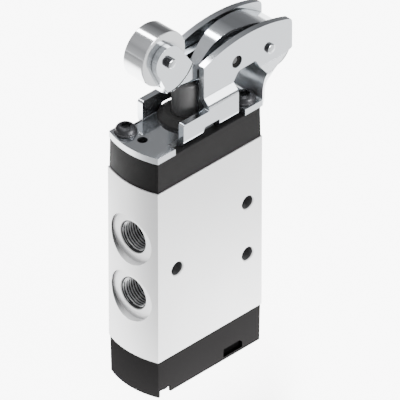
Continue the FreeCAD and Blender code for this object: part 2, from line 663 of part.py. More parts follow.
def base_plate():
    plate = end_curved_prism(CAP_WIDTH, CAP_DEPTH, CAP_TOP, PLATE_TOP)
    plate = plate.cut(block(-BODY_WIDTH, BODY_WIDTH, HOOP_WALL_Y - SHEET, BODY_DEPTH, CAP_TOP - 1, PLATE_TOP + 1))
    front = PLATE_FRONT_TAB - BODY_DEPTH / 2
    rear = BODY_DEPTH / 2 - PLATE_REAR_TAB
    for side in (-1, 1):
        x0, x1 = sorted((side * WAIST_X, side * BODY_WIDTH))
        plate = plate.cut(block(x0, x1, front, rear, CAP_TOP - 1, PLATE_TOP + 1))
    return plate


def bracket():
    shape = fuse_all([base_plate()] + cheeks() + hoop())
    shape = shape.cut(rod(GUIDE_SHANK_RADIUS + GUIDE_SEAT_CLEARANCE, SHEET + 2, Vector(0, 0, CAP_TOP - 1)))
    shape = shape.cut(rod(GUIDE_FLANGE_RADIUS + GUIDE_SEAT_CLEARANCE, GUIDE_FLANGE_HEIGHT + 1, Vector(0, 0, PLATE_TOP)))
    for x, y in screw_places(SCREW_Y, -1):
        shape = shape.cut(rod(SCREW_RADIUS + SCREW_CLEARANCE, SHEET + 2, Vector(x, y, CAP_TOP - 1)))
    shape = shape.cut(rod(VENT_RADIUS, SHEET + 2, Vector(0, VENT_Y, CAP_TOP - 1)))
    shape = shape.cut(along_x(PIVOT_RADIUS, BODY_WIDTH, PIVOT_Y, PIVOT_Z))
    shape = shape.cut(along_x(BUTTON_RADIUS, BODY_WIDTH, BUTTON_Y, BUTTON_Z))
    return shape.removeSplitter()


def six_lobe(radius, depth, place):
    """Six-lobed driver recess."""
    lobes = [rod(radius * 0.74, depth, place)]
    for turn in range(6):
        angle = math.radians(60 * turn)
        offset = Vector(math.cos(angle), math.sin(angle), 0) * radius * 0.74
        lobes.append(rod(radius * 0.26, depth, place + offset))
    return lobes[0].multiFuse(lobes[1:])


def bracket_screws():
    """Flange-head screws through the plate and the cap."""
    screws = []
    for x, y in screw_places(SCREW_Y, -1):
        seat = Vector(x, y, PLATE_TOP)
        washer = rod(SCREW_HEAD_RADIUS, SCREW_FLANGE_HEIGHT, seat)
        crown = rod(SCREW_CROWN_RADIUS, SCREW_HEAD_HEIGHT, seat)
        crown = crown.makeFillet(SCREW_HEAD_HEIGHT / 2, [crown.Edges[0]])
        shank = rod(SCREW_RADIUS, SCREW_LENGTH, seat - Vector(0, 0, SCREW_LENGTH))
        screw = crown.multiFuse([washer, shank])
        mouth = seat + Vector(0, 0, SCREW_HEAD_HEIGHT - SCREW_RECESS_DEPTH)
        screws.append(screw.cut(six_lobe(SCREW_RECESS_RADIUS, SCREW_RECESS_DEPTH, mouth)))
    return Part.makeCompound(screws)


def base_screws():
    """Cap screws from below, their heads sunk in the base."""
    screws = []
    for x, y in screw_places(BASE_SCREW_Y, 1):
        head_top = BODY_BOTTOM - base_screw_grip()
        head = rod(BASE_SCREW_HEAD_RADIUS, BASE_SCREW_HEAD_HEIGHT, Vector(x, y, head_top - BASE_SCREW_HEAD_HEIGHT))
        shank = rod(SCREW_RADIUS, base_screw_grip() + SCREW_BITE, Vector(x, y, head_top))
        recess = six_lobe(BASE_SCREW_RECESS_RADIUS, SCREW_RECESS_DEPTH, Vector(x, y, head_top - BASE_SCREW_HEAD_HEIGHT))
        screws.append(head.fuse(shank).cut(recess))
    return Part.makeCompound(screws)


def lever_side(thin=0.0):
    """Side view of the lever; thin lifts the underside by the sheet's thickness."""
    centre = Vector(0, ROLLER_Y, ROLLER_Z)
    front = math.radians(LEVER_FRONT_LEAN)
    back = math.radians(LEVER_BACK_LEAN)
    down_front = Vector(0, math.sin(front), -math.cos(front))
    down_back = Vector(0, math.sin(back), -math.cos(back))
    out_front = Vector(0, -math.cos(front), -math.sin(front))
    out_back = Vector(0, math.cos(back), math.sin(back))
    front_start = centre + out_front * LEVER_END_RADIUS
    back_start = centre + out_back * LEVER_END_RADIUS
    toe = front_start + down_front * ((front_start.z - PLATE_TOP - LEVER_TOE_RISE - thin) / math.cos(front))
    heel = back_start + down_back * ((back_start.z - LEVER_TOP_Z) / math.cos(back))
    tail = Vector(0, PIVOT_Y, PIVOT_Z)
    tail_run = math.sqrt(LEVER_TAIL_RADIUS ** 2 - (LEVER_TOP_Z - PIVOT_Z) ** 2)
    tail_top = Vector(0, PIVOT_Y + tail_run, LEVER_TOP_Z)
    tail_end = tail + Vector(0, LEVER_TAIL_RADIUS, 0)
    tail_low = tail - Vector(0, 0, LEVER_TAIL_RADIUS)
    floor = PLATE_TOP + thin
    knee = [
        Vector(0, LEVER_KNEE_Y, floor + LEVER_KNEE_RISE),
        Vector(0, LEVER_BELLY_Y, floor + LEVER_BELLY_RISE),
        Vector(0, LEVER_HOCK_Y, floor + LEVER_HOCK_RISE),
    ]
    nose = centre + Vector(0, -0.5, 0.86).normalize() * LEVER_END_RADIUS
    edges = [
        Part.Arc(back_start, nose, front_start).toShape(),
        Part.makeLine(front_start, toe),
        Part.makeLine(toe, knee[0]),
        Part.makeLine(knee[0], knee[1]),
        Part.makeLine(knee[1], knee[2]),
        Part.makeLine(knee[2], tail_low),
        Part.Arc(tail_low, tail + Vector(0, 0.6, -0.8) * LEVER_TAIL_RADIUS, tail_end).toShape(),
        Part.Arc(tail_end, tail + Vector(0, 0.9539, 0.3) * LEVER_TAIL_RADIUS, tail_top).toShape(),
        Part.makeLine(tail_top, heel),
        Part.makeLine(heel, back_start),
    ]
    return Part.Wire(edges)


def bottom_edges(shape, half_width):
    """Long lower edges of the lever's flanks."""
    found = []
    for edge in shape.Edges:
        middle = edge.CenterOfMass
        on_flank = abs(abs(middle.x) - half_width) < 1e-4
        low = middle.z < PIVOT_Z + PIVOT_RADIUS
        if on_flank and low and middle.y < (LEVER_HOCK_Y + PIVOT_Y) / 2 - 1.5 and edge.Length > 1:
            ends = [v.Point for v in edge.Vertexes]
            run = abs(ends[0].y - ends[1].y)
            if run > abs(ends[0].z - ends[1].z):
                found.append(edge)
    return found


def lever():
    """Pressed channel: narrow between the cheeks, stepped out round the roller."""
    outline = lever_side()
    near_roller = along_x(LEVER_STEP_RADIUS, BODY_WIDTH, ROLLER_Y, ROLLER_Z)
    wide = yz_slab(outline, LEVER_FRONT_WALL_X)
    wide = wide.makeFillet(LEVER_BEND_RADIUS, bottom_edges(wide, LEVER_FRONT_WALL_X)).common(near_roller)
    narrow = yz_slab(outline, LEVER_WALL_X)
    narrow = narrow.makeFillet(LEVER_BEND_RADIUS, bottom_edges(narrow, LEVER_WALL_X))
    shape = wide.fuse(narrow)
    hollow_outline = lever_side(SHEET)
    hollow = yz_slab(hollow_outline, LEVER_WALL_X - SHEET)
    hollow = hollow.makeFillet(LEVER_INNER_BEND_RADIUS, bottom_edges(hollow, LEVER_WALL_X - SHEET))
    pocket = yz_slab(hollow_outline, LEVER_FRONT_WALL_X - SHEET)
    pocket = pocket.common(along_x(LEVER_POCKET_RADIUS, BODY_WIDTH, ROLLER_Y, ROLLER_Z))
    shape = shape.cut(hollow).cut(pocket)
    # The channel is open at the front, over the top and behind the pivot
    inside = LEVER_WALL_X - SHEET
    tail_z = PIVOT_Z - 2 * LEVER_TAIL_RADIUS
    rear = PIVOT_Y - LEVER_OPEN_FROM_PIVOT
    shape = shape.cut(block(-inside, inside, rear, HOOP_REAR_Y, tail_z, ROLLER_Z))
    shape = shape.cut(along_x(ROLLER_PIN_RADIUS, BODY_WIDTH, ROLLER_Y, ROLLER_Z))
    return shape.cut(along_x(PIVOT_RADIUS + RUNNING_CLEARANCE, BODY_WIDTH, PIVOT_Y, PIVOT_Z))


def pin(radius, half_length, y, z, chamfer=PIN_CHAMFER):
    shape = along_x(radius, half_length, y, z)
    return shape.makeChamfer(chamfer, [e for e in shape.Edges if len(e.Vertexes) == 1])


def pivot_sleeve():
    """Spacer tube that holds the lever's walls apart on the pivot."""
    half = LEVER_WALL_X - SHEET
    shape = along_x(PIVOT_RADIUS + PIVOT_SLEEVE_WALL, half, PIVOT_Y, PIVOT_Z)
    return shape.cut(along_x(PIVOT_RADIUS + RUNNING_CLEARANCE, BODY_WIDTH, PIVOT_Y, PIVOT_Z))


def guide_buttons():
    """Pads pressed into the cheeks, which keep the lever central."""
    inner = LEVER_WALL_X + RUNNING_CLEARANCE
    length = CHEEK_OUTER_X - BUTTON_RECESS - inner
    pad = rod(BUTTON_RADIUS, length, Vector(inner, BUTTON_Y, BUTTON_Z), X_AXIS)
    return Part.makeCompound([pad, mirror_x(pad)])


def roller():
    shape = pin(ROLLER_RADIUS, ROLLER_WIDTH / 2, ROLLER_Y, ROLLER_Z, ROLLER_CHAMFER)
    return shape.cut(along_x(BUSH_RADIUS, BODY_WIDTH, ROLLER_Y, ROLLER_Z))


def roller_bush():
    shape = along_x(BUSH_RADIUS, ROLLER_WIDTH / 2, ROLLER_Y, ROLLER_Z)
    return shape.cut(along_x(ROLLER_PIN_RADIUS + RUNNING_CLEARANCE, BODY_WIDTH, ROLLER_Y, ROLLER_Z))


save("valve_body", valve_body())
save("top_cap", top_cap())
save("base_cap", base_cap())
save("top_gasket", gasket(BODY_TOP, BODY_TOP + GASKET_THICKNESS))
save("base_gasket", gasket(BODY_BOTTOM - GASKET_THICKNESS, BODY_BOTTOM))
save("seal_cages", cage_stack())
save("spool_seals", spool_seals())
save("spool", spool())
save("return_spring", return_spring())
save("plunger", plunger())
save("plunger_guide", plunger_guide())
save("wiper_seal", wiper_seal())
save("bracket", bracket())
save("bracket_screws", bracket_screws())
save("base_screws", base_screws())
save("lever", lever())
save("pivot_pin", pin(PIVOT_RADIUS, CHEEK_OUTER_X + PIVOT_STAND_OUT, PIVOT_Y, PIVOT_Z))
save("pivot_sleeve", pivot_sleeve())
save("guide_buttons", guide_buttons())
save("roller", roller())
save("roller_bush", roller_bush())
save("roller_pin", pin(ROLLER_PIN_RADIUS, LEVER_FRONT_WALL_X + ROLLER_PIN_STAND_OUT, ROLLER_Y, ROLLER_Z))
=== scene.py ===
import bpy
import bmesh
import math
from mathutils import Matrix, Vector


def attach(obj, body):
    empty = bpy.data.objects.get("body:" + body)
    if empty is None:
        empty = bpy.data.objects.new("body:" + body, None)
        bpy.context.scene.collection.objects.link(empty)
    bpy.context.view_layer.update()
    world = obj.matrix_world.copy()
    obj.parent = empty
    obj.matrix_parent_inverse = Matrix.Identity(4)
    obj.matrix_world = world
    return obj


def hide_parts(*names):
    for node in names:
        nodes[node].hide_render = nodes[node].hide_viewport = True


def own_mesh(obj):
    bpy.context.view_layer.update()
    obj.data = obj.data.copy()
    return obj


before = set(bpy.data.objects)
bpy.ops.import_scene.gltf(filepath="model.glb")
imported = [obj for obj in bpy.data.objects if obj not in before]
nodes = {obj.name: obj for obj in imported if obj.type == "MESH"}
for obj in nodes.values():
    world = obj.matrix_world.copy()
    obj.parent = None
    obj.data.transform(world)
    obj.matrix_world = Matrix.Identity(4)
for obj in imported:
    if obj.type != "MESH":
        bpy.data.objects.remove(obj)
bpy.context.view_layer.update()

# Pieces are modelled in millimetres and scaled to metres when they are finished.
MM = 0.001
SHEET = 2.0
BODY_WIDTH = 20.0
BODY_DEPTH = 41.0
END_BULGE = 1.9
BODY_BOTTOM = 12.5
BODY_TOP = 70.5
CAP_TOP = 80.5
PLATE_TOP = CAP_TOP + SHEET
CAP_INSET = 0.27
CAP_DRAFT = 0.15
CAP_WIDTH = BODY_WIDTH - 2 * CAP_INSET
CAP_DEPTH = BODY_DEPTH - 2 * CAP_INSET

PORT_PITCH = 9.7
PORT_MINOR = 4.283
PORT_MAJOR = 4.864
PORT_THREAD_PITCH = 0.907
PORT_MIDDLE = (BODY_BOTTOM + BODY_TOP) / 2
# Ports as (side, height), the side -1 in front and 1 behind; through holes as (y, z)
PORT_STEPS = ((-1, -1), (-1, 1), (1, -2), (1, 0), (1, 2))
PORTS = [(side, PORT_MIDDLE + step * PORT_PITCH) for side, step in PORT_STEPS]
HOLES = ((-12.9, PORT_MIDDLE), (14.9, PORT_MIDDLE + 8.85), (14.9, PORT_MIDDLE - 8.85))
HOLE_RADIUS = 2.15
HOLE_MOUTH_RADIUS = 2.45

ROLLER = (-12.0, 109.4)
PIVOT = (26.2, 96.3)
BUTTON = (13.4, 97.8)
BRACKET_SCREWS = ((-6.1, -17.25), (6.1, 17.25))
BASE_SCREWS = ((6.1, -16.5), (-6.1, 16.5))
SCREW_ROOM = 1.6
VENT = (0, -16.7)
VENT_RADIUS = 1.5

CHEEK_FRONT_Y = 0.45
CHEEK_REAR_Y = 35.2
CHEEK_CORNER_Z = 101.9
CHEEK_CROWN = (17.5, 105.2)
CHEEK_REAR_CORNER = 1.5
WALL_Y = 21.9
HOOP_HALF_WIDTH = 4.8
HOOP_TIP_HALF_WIDTH = 1.5
HOOP_SPLIT_Z = 92

LEVER_RUN = [(2.0, 95.4), (13.5, 91.8), (21.0, 91.5)]
LEVER_TOE_Z = 97.6
LEVER_BACK_Z = 100.4
LEVER_TAIL_RADIUS = 4.15
LEVER_EAR_RADIUS = 4.9
LEVER_STEP_RADIUS = 10.75

PLUNGER_TOP = 95.5
PLUNGER_RADIUS = 3.75
PLUNGER_DOME = 8.0
SPRING_SEAT = 3.6


# Small modelling tools

def new_object(name, mesh):
    obj = bpy.data.objects.new(name, mesh)
    bpy.context.scene.collection.objects.link(obj)
    return obj


def mesh_object(name, verts, faces):
    mesh = bpy.data.meshes.new(name)
    mesh.from_pydata(verts, [], faces)
    mesh.update()
    bm = bmesh.new()
    bm.from_mesh(mesh)
    bmesh.ops.recalc_face_normals(bm, faces=bm.faces)
    bm.to_mesh(mesh)
    bm.free()
    return new_object(name, mesh)


def spot(axis, u, v, along):
    """A point from two coordinates across an axis and one along it."""
    if axis == "X":
        return (along, u, v)
    if axis == "Y":
        return (u, along, v)
    return (u, v, along)


def solid_between(name, first, second):
    """Closed solid between two rings with the same number of points."""
    count = len(first)
    faces = [tuple(range(count)), tuple(range(count, 2 * count))]
    for index in range(count):
        after = (index + 1) % count
        faces.append((index, after, count + after, count + index))
    return mesh_object(name, first + second, faces)


def prism(name, outline, axis, low, high):
    return solid_between(name, [spot(axis, u, v, low) for u, v in outline],
                         [spot(axis, u, v, high) for u, v in outline])


def tapered(name, wide, narrow, z_wide, z_narrow):
    return solid_between(name, [(x, y, z_wide) for x, y in wide], [(x, y, z_narrow) for x, y in narrow])


def box(name, x0, x1, y0, y1, z0, z1):
    return prism(name, [(x0, y0), (x1, y0), (x1, y1), (x0, y1)], "Z", z0, z1)


def lathe(name, profile, axis, centre, steps=96):
    """Turns (radius, along) points about an axis; a radius of zero closes on the axis."""
    verts = []
    rings = []
    for radius, along in profile:
        if radius == 0:
            rings.append([len(verts)])
            verts.append(spot(axis, centre[0], centre[1], along))
            continue
        ring = []
        for step in range(steps):
            angle = 2 * math.pi * step / steps
            ring.append(len(verts))
            u = centre[0] + radius * math.cos(angle)
            v = centre[1] + radius * math.sin(angle)
            verts.append(spot(axis, u, v, along))
        rings.append(ring)
    faces = []
    pairs = list(zip(rings, rings[1:]))
    if profile[0][0] > 0 and profile[-1][0] > 0:
        pairs.append((rings[-1], rings[0]))
    for first, second in pairs:
        for step in range(steps):
            after = (step + 1) % steps
            if len(first) == 1:
                faces.append((first[0], second[step], second[after]))
            elif len(second) == 1:
                faces.append((first[step], first[after], second[0]))
            else:
                faces.append((first[step], first[after], second[after], second[step]))
    return mesh_object(name, verts, faces)


def rod(name, radius, axis, centre, low, high, steps=64):
    return lathe(name, [(0, low), (radius, low), (radius, high), (0, high)], axis, centre, steps)


def combine(obj, other, operation):
    """Applies a boolean to an object's mesh and removes the other object."""
    step = obj.modifiers.new("combine", "BOOLEAN")
    step.operation = operation
    step.solver = "EXACT"
    step.object = other
    bpy.context.view_layer.update()
    view = bpy.context.evaluated_depsgraph_get()
    mesh = bpy.data.meshes.new_from_object(obj.evaluated_get(view))
    obj.modifiers.clear()
    obj.data = mesh
    bpy.data.objects.remove(other)
    return obj


def cut(obj, other):
    return combine(obj, other, "DIFFERENCE")


def join(obj, other):
    return combine(obj, other, "UNION")


def meet(obj, other):
    return combine(obj, other, "INTERSECT")


def mirrored(obj, name):
    twin = new_object(name, obj.data.copy())
    twin.data.transform(Matrix.Scale(-1, 4, (1, 0, 0)))
    twin.data.flip_normals()
    return twin


def clean(obj, distance=0.002):
    bm = bmesh.new()
    bm.from_mesh(obj.data)
    bmesh.ops.remove_doubles(bm, verts=bm.verts, dist=distance)
    bmesh.ops.dissolve_degenerate(bm, edges=bm.edges, dist=distance)
    bm.to_mesh(obj.data)
    bm.free()


def round_edges(obj, chosen, radius):
    """Rounds the edges whose two ends a test picks."""
    bm = bmesh.new()
    bm.from_mesh(obj.data)
    edges = [e for e in bm.edges if chosen(*e.verts)]
    bmesh.ops.bevel(bm, geom=edges, offset=radius, offset_type="OFFSET", segments=8, profile=0.5,
                    affect="EDGES")
    bm.to_mesh(obj.data)
    bm.free()
    return obj


def rounded(corners, steps=10):
    """Closed outline through (u, v, radius) corners."""
    points = []
    count = len(corners)
    for index in range(count):
        u, v, radius = corners[index]
        here = Vector((u, v))
        if radius <= 0:
            points.append((u, v))
            continue
        before = (Vector(corners[index - 1][:2]) - here).normalized()
        ahead = (Vector(corners[(index + 1) % count][:2]) - here).normalized()
        half = math.acos(max(-1.0, min(1.0, before.dot(ahead)))) / 2
        reach = radius / math.tan(half)
        centre = here + (before + ahead).normalized() * (radius / math.sin(half))
        first = here + before * reach - centre
        last = here + ahead * reach - centre
        start = math.atan2(first.y, first.x)
        turn = (math.atan2(last.y, last.x) - start + math.pi) % (2 * math.pi) - math.pi
        for step in range(steps + 1):
            angle = start + turn * step / steps
            points.append((centre.x + radius * math.cos(angle), centre.y + radius * math.sin(angle)))
    return points


def strip(path, thickness, steps=12):
    """Outline of a bent strip round a middle line of (u, v, radius) points."""
    half = thickness / 2
    sides = ([], [])
    last = len(path) - 1
    for index, (u, v, radius) in enumerate(path):
        here = Vector((u, v))
        into = (here - Vector(path[index - 1][:2])).normalized() if index > 0 else None
        out = (Vector(path[index + 1][:2]) - here).normalized() if index < last else None
        if into is None or out is None:
            run = into or out
            across = Vector((-run.y, run.x)) * half
            sides[0].append((*(here + across), 0))
            sides[1].append((*(here - across), 0))
            continue
        left_in = Vector((-into.y, into.x))
        left_out = Vector((-out.y, out.x))
        mitre = (left_in + left_out).normalized()
        reach = half / mitre.dot(left_in)
        inner_side = -half if into.cross(out) > 0 else half
        sides[0].append((*(here + mitre * reach), max(radius + inner_side, 0.05)))
        sides[1].append((*(here - mitre * reach), max(radius - inner_side, 0.05)))
    return rounded(sides[0] + sides[1][::-1], steps)


def arc_through(first, middle, last, steps):
    """Points of the circular arc through three points, ends included."""
    (ax, ay), (bx, by), (cx, cy) = first, middle, last
    d = 2 * (ax * (by - cy) + bx * (cy - ay) + cx * (ay - by))
    sa, sb, sc = ax * ax + ay * ay, bx * bx + by * by, cx * cx + cy * cy
    ux = (sa * (by - cy) + sb * (cy - ay) + sc * (ay - by)) / d
    uy = (sa * (cx - bx) + sb * (ax - cx) + sc * (bx - ax)) / d
    radius = math.hypot(ax - ux, ay - uy)
    start = math.atan2(ay - uy, ax - ux)
    through = (math.atan2(by - uy, bx - ux) - start) % (2 * math.pi)
    turn = (math.atan2(cy - uy, cx - ux) - start) % (2 * math.pi)
    if through > turn:
        turn -= 2 * math.pi
    points = []
    for step in range(steps + 1):
        angle = start + turn * step / steps
        points.append((ux + radius * math.cos(angle), uy + radius * math.sin(angle)))
    return points


def end_curved(width, depth, steps=40):
    """Plan outline with flat sides and curved ends."""
    w = width / 2
    d = depth / 2
    front = arc_through((-w, -d), (0, -d - END_BULGE), (w, -d), steps)
    rear = arc_through((w, d), (0, d + END_BULGE), (-w, d), steps)
    return front + rear


def both_sides(points):
    """A plan outline from its right half."""
    return points + [(-x, y) for x, y in reversed(points)]


def six_lobe(radius, steps=72):
    """Outline of a six-lobed driver recess."""
    points = []
    for step in range(steps):
        angle = 2 * math.pi * step / steps
        wave = 0.5 + 0.5 * math.cos(6 * angle)
        points.append((radius * (0.76 + 0.24 * wave ** 0.8) * math.cos(angle),
                       radius * (0.76 + 0.24 * wave ** 0.8) * math.sin(angle)))
    return points


def thread_profile(phase):
    """Depth from root to crest of a rounded triangular thread, 0 to 1."""
    height = 1 - abs(2 * (phase % 1.0) - 1)
    return min(1.0, max(0.0, (height - 0.12) / 0.76))


def helix_thread(name, crest, root, pitch, axis, centre, low, high, steps=72, per_turn=10):
    """Surface of a screw thread between two radii; it fades at both ends."""
    rows = max(4, int((high - low) / pitch * per_turn))
    verts = []
    faces = []
    for row in range(rows + 1):
        along = low + (high - low) * row / rows
        fade = min(1.0, (along - low) / (0.7 * pitch), (high - along) / (0.7 * pitch))
        for step in range(steps):
            angle = 2 * math.pi * step / steps
            depth = thread_profile(along / pitch + step / steps)
            radius = root + (crest - root) * depth * fade
            u = centre[0] + radius * math.cos(angle)
            v = centre[1] + radius * math.sin(angle)
            verts.append(spot(axis, u, v, along))
    for row in range(rows):
        for step in range(steps):
            after = (step + 1) % steps
            faces.append((row * steps + step, row * steps + after,
                          (row + 1) * steps + after, (row + 1) * steps + step))
    return mesh_object(name, verts, faces)


def smooth(obj, angle=32):
    for face in obj.data.polygons:
        face.use_smooth = True
    obj.data.set_sharp_from_angle(angle=math.radians(angle))


def finish(obj, body, material, stands_for=(), edge=0.0, angle=32, segments=2):
    """Scales a piece to metres, softens its edges, paints it and hangs it on its CAD body."""
    clean(obj)
    obj.data.transform(Matrix.Scale(MM, 4))
    smooth(obj, angle)
    if edge > 0:
        bevel = obj.modifiers.new("edges", "BEVEL")
        bevel.width = edge * MM
        bevel.segments = segments
        bevel.limit_method = "ANGLE"
        bevel.angle_limit = math.radians(angle)
        bevel.use_clamp_overlap = True
        bevel.harden_normals = False
    weigh = obj.modifiers.new("weigh", "WEIGHTED_NORMAL")
    weigh.keep_sharp = True
    obj.data.materials.clear()
    obj.data.materials.append(material)
    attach(obj, body)
    if stands_for:
        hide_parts(*stands_for)
    return obj


# Small shader tools; each gives the output to link on

def maths(tree, operation, first, second=None, clamp=False):
    """A maths step; each value is a number or an output to link from."""
    node = tree.nodes.new("ShaderNodeMath")
    node.operation = operation
    node.use_clamp = clamp
    for socket, value in zip(node.inputs, (first, second)):
        if isinstance(value, (int, float)):
            socket.default_value = value
        elif value is not None:
            tree.links.new(value, socket)
    return node.outputs[0]


def ramp(tree, value, start, end, low, high, curve="LINEAR"):
    """Maps start..end of a value to low..high."""
    node = tree.nodes.new("ShaderNodeMapRange")
    node.interpolation_type = curve
    for name, number in (("From Min", start), ("From Max", end), ("To Min", low), ("To Max", high)):
        node.inputs[name].default_value = number
    tree.links.new(value, node.inputs["Value"])
    return node.outputs["Result"]


def darkened(tree, colour, factor):
    node = tree.nodes.new("ShaderNodeMix")
    node.data_type = "RGBA"
    node.blend_type = "MULTIPLY"
    node.inputs[0].default_value = 1.0
    tree.links.new(colour, node.inputs[6])
    tree.links.new(factor, node.inputs[7])
    return node.outputs[2]


def split(tree, kind):
    """The X, Y and Z of one texture coordinate."""
    place = tree.nodes.new("ShaderNodeTexCoord")
    parts = tree.nodes.new("ShaderNodeSeparateXYZ")
    tree.links.new(place.outputs[kind], parts.inputs[0])
    return parts.outputs


def noise(tree, place, scale, detail):
    node = tree.nodes.new("ShaderNodeTexNoise")
    node.inputs["Scale"].default_value = scale
    node.inputs["Detail"].default_value = detail
    tree.links.new(place, node.inputs["Vector"])
    return node.outputs["Fac"]


def principled(tree):
    return next(n for n in tree.nodes if n.type == "BSDF_PRINCIPLED")


# Finishes

def finish_nodes(name, base, metallic, roughness, grain_mm, bump, mottle=0.06, rough_var=0.15, turned=None,
                 gloss=0.5, recess=None):
    """A procedural finish: fine grain, slow mottling and, for turned pieces, rings about an axis.

    A recess of (reach in millimetres, deepest factor) paints shade into the colour where other surfaces close
    in, and dulls it there.
    """
    mat = bpy.data.materials.new(name)
    mat.use_nodes = True
    tree = mat.node_tree
    tree.nodes.clear()
    out = tree.nodes.new("ShaderNodeOutputMaterial")
    shader = tree.nodes.new("ShaderNodeBsdfPrincipled")
    tree.links.new(shader.outputs["BSDF"], out.inputs["Surface"])
    shader.inputs["Metallic"].default_value = metallic
    shader.inputs["IOR"].default_value = 1.5
    shader.inputs["Specular IOR Level"].default_value = gloss
    place = tree.nodes.new("ShaderNodeTexCoord").outputs["Object"]
    slow = noise(tree, place, 70.0, 4.0)
    if turned:
        axis, centre = turned
        parts = split(tree, "Object")
        squares = []
        for letter, middle in zip([a for a in "XYZ" if a != axis], centre):
            shift = maths(tree, "SUBTRACT", parts[letter], middle * MM)
            squares.append(maths(tree, "MULTIPLY", shift, shift))
        pack = tree.nodes.new("ShaderNodeCombineXYZ")
        tree.links.new(maths(tree, "SQRT", maths(tree, "ADD", *squares)), pack.inputs[0])
        tree.links.new(parts[axis], pack.inputs[1])
        place = pack.outputs[0]
    fine = noise(tree, place, 1.0 / (grain_mm * MM), 3.0)
    tint = tree.nodes.new("ShaderNodeMix")
    tint.data_type = "RGBA"
    tint.inputs[6].default_value = (*[c * (1 - mottle) for c in base], 1)
    tint.inputs[7].default_value = (*[min(1.0, c * (1 + mottle)) for c in base], 1)
    halves = [maths(tree, "MULTIPLY", part, 0.5) for part in (fine, slow)]
    tree.links.new(maths(tree, "ADD", *halves, clamp=True), tint.inputs[0])
    colour = tint.outputs[2]
    rough = ramp(tree, slow, 0.3, 0.7, roughness * (1 - rough_var), min(1.0, roughness * (1 + rough_var)))
    if recess:
        reach, deepest = recess
        # Painted shade: ambient occlusion darkens the colour in recesses; the added roughness dulls them
        shade = tree.nodes.new("ShaderNodeAmbientOcclusion")
        shade.samples = 16
        shade.inputs["Distance"].default_value = reach * MM
        open_part = ramp(tree, shade.outputs["AO"], 0.1, 0.75, deepest, 1.0)
        colour = darkened(tree, colour, open_part)
        rough = maths(tree, "ADD", rough, ramp(tree, open_part, deepest, 1.0, 0.3, 0.0))
    tree.links.new(colour, shader.inputs["Base Color"])
    tree.links.new(rough, shader.inputs["Roughness"])
    if bump > 0:
        relief = tree.nodes.new("ShaderNodeBump")
        relief.inputs["Strength"].default_value = bump
        relief.inputs["Distance"].default_value = grain_mm * MM * 0.3
        tree.links.new(fine, relief.inputs["Height"])
        tree.links.new(relief.outputs["Normal"], shader.inputs["Normal"])
    return mat


def shade_by_side(mat, lit, shaded):
    """Darkens the walls that face +X, as the side of a shallow recess turned from the light."""
    tree = mat.node_tree
    base = principled(tree).inputs["Base Color"]
    turn = ramp(tree, split(tree, "Normal")["X"], 0.1, 0.9, lit, shaded, "SMOOTHSTEP")
    tree.links.new(darkened(tree, base.links[0].from_socket, turn), base)


about_roller = ("X", ROLLER)
about_stem = ("Z", (0, 0))
# Reach and depth of the painted shade where the sheet's surfaces close in
sheet_painted_shade = (8.0, 0.2)

# Body
alloy = finish_nodes("satin_alloy", (0.55, 0.552, 0.555), 0.4, 0.45, 0.16, 0.2, 0.015, 0.1)
# Painted shade: a dark copy of the alloy for the walls of the through holes and the deep port bores
painted_hole_shade = finish_nodes("painted_hole_shade", (0.18, 0.18, 0.183), 0.6, 0.4, 0.12, 0.3, 0.1, 0.2)
# Painted light and shade on the spot-face walls: a lighter copy of the alloy, darkened on the walls that face
# +X
spot_wall_painted_light = finish_nodes("spot_wall_painted_light", (0.82, 0.822, 0.825), 0.2, 0.5, 0.12, 0.1, 0.02, 0.1)
thread_crest = finish_nodes("thread_crest", (0.42, 0.425, 0.43), 0.85, 0.3, 0.05, 0.2, 0.04, 0.2)
# Painted shade: a near-black for the thread roots, beside the lighter crests
painted_thread_shade = finish_nodes("painted_thread_shade", (0.02, 0.02, 0.021), 0.3, 0.5, 0.05, 0.2, 0.04, 0.2)
# Painted highlight: a light copy of the alloy for the bevelled body edges
painted_edge_highlight = finish_nodes("painted_edge_highlight", (0.86, 0.862, 0.865), 0.1, 0.4, 0.12, 0.1, 0.02, 0.1)
shade_by_side(spot_wall_painted_light, 1.0, 0.12)

# Mouldings and rubber
cap_black = finish_nodes("cap_plastic", (0.009, 0.0087, 0.0088), 0.0, 0.55, 0.22, 0.35, 0.15, 0.12,
                         gloss=0.05)
base_black = finish_nodes("base_plastic", (0.0125, 0.0121, 0.0122), 0.0, 0.8, 0.22, 0.35, 0.15, 0.12,
                          gloss=0.0)
# Painted shade: a near-black for the inside of the side slot in the base cap
painted_slot_shade = finish_nodes("painted_slot_shade", (0.0015, 0.0015, 0.0015), 0.0, 0.8, 0.22, 0.2, 0.2, 0.1, gloss=0.0)
guide_black = finish_nodes("guide_plastic", (0.026, 0.0255, 0.025), 0.0, 0.5, 0.18, 0.3, 0.15, 0.15,
                           gloss=0.12)
button_centre = finish_nodes("button_centre", (0.07, 0.07, 0.072), 0.3, 0.45, 0.12, 0.2, 0.1, 0.15,
                             gloss=0.3)
rubber = finish_nodes("rubber", (0.012, 0.012, 0.012), 0.0, 0.65, 0.12, 0.3, 0.2, 0.15, gloss=0.15)
cage_dark = finish_nodes("cage_plastic", (0.02, 0.02, 0.02), 0.0, 0.5, 0.2, 0.25, 0.06, 0.15)

# Plated sheet and its cut edges, with painted shade on the cheeks' front edges and inside the hoop
plated = finish_nodes("plated_sheet", (0.78, 0.815, 0.85), 1.0, 0.12, 0.35, 0.02, 0.03, 0.2,
                      recess=sheet_painted_shade)
cut_edge = finish_nodes("cut_edge", (0.44, 0.455, 0.47), 1.0, 0.3, 0.2, 0.05, 0.05, 0.2, recess=sheet_painted_shade)
# Painted shade: a darker copy of the cut edge for the cheeks' front edges
cheek_edge_painted_shade = finish_nodes("cheek_edge_painted_shade", (0.27, 0.28, 0.29), 1.0, 0.3, 0.2, 0.05, 0.05, 0.2,
                          recess=sheet_painted_shade)
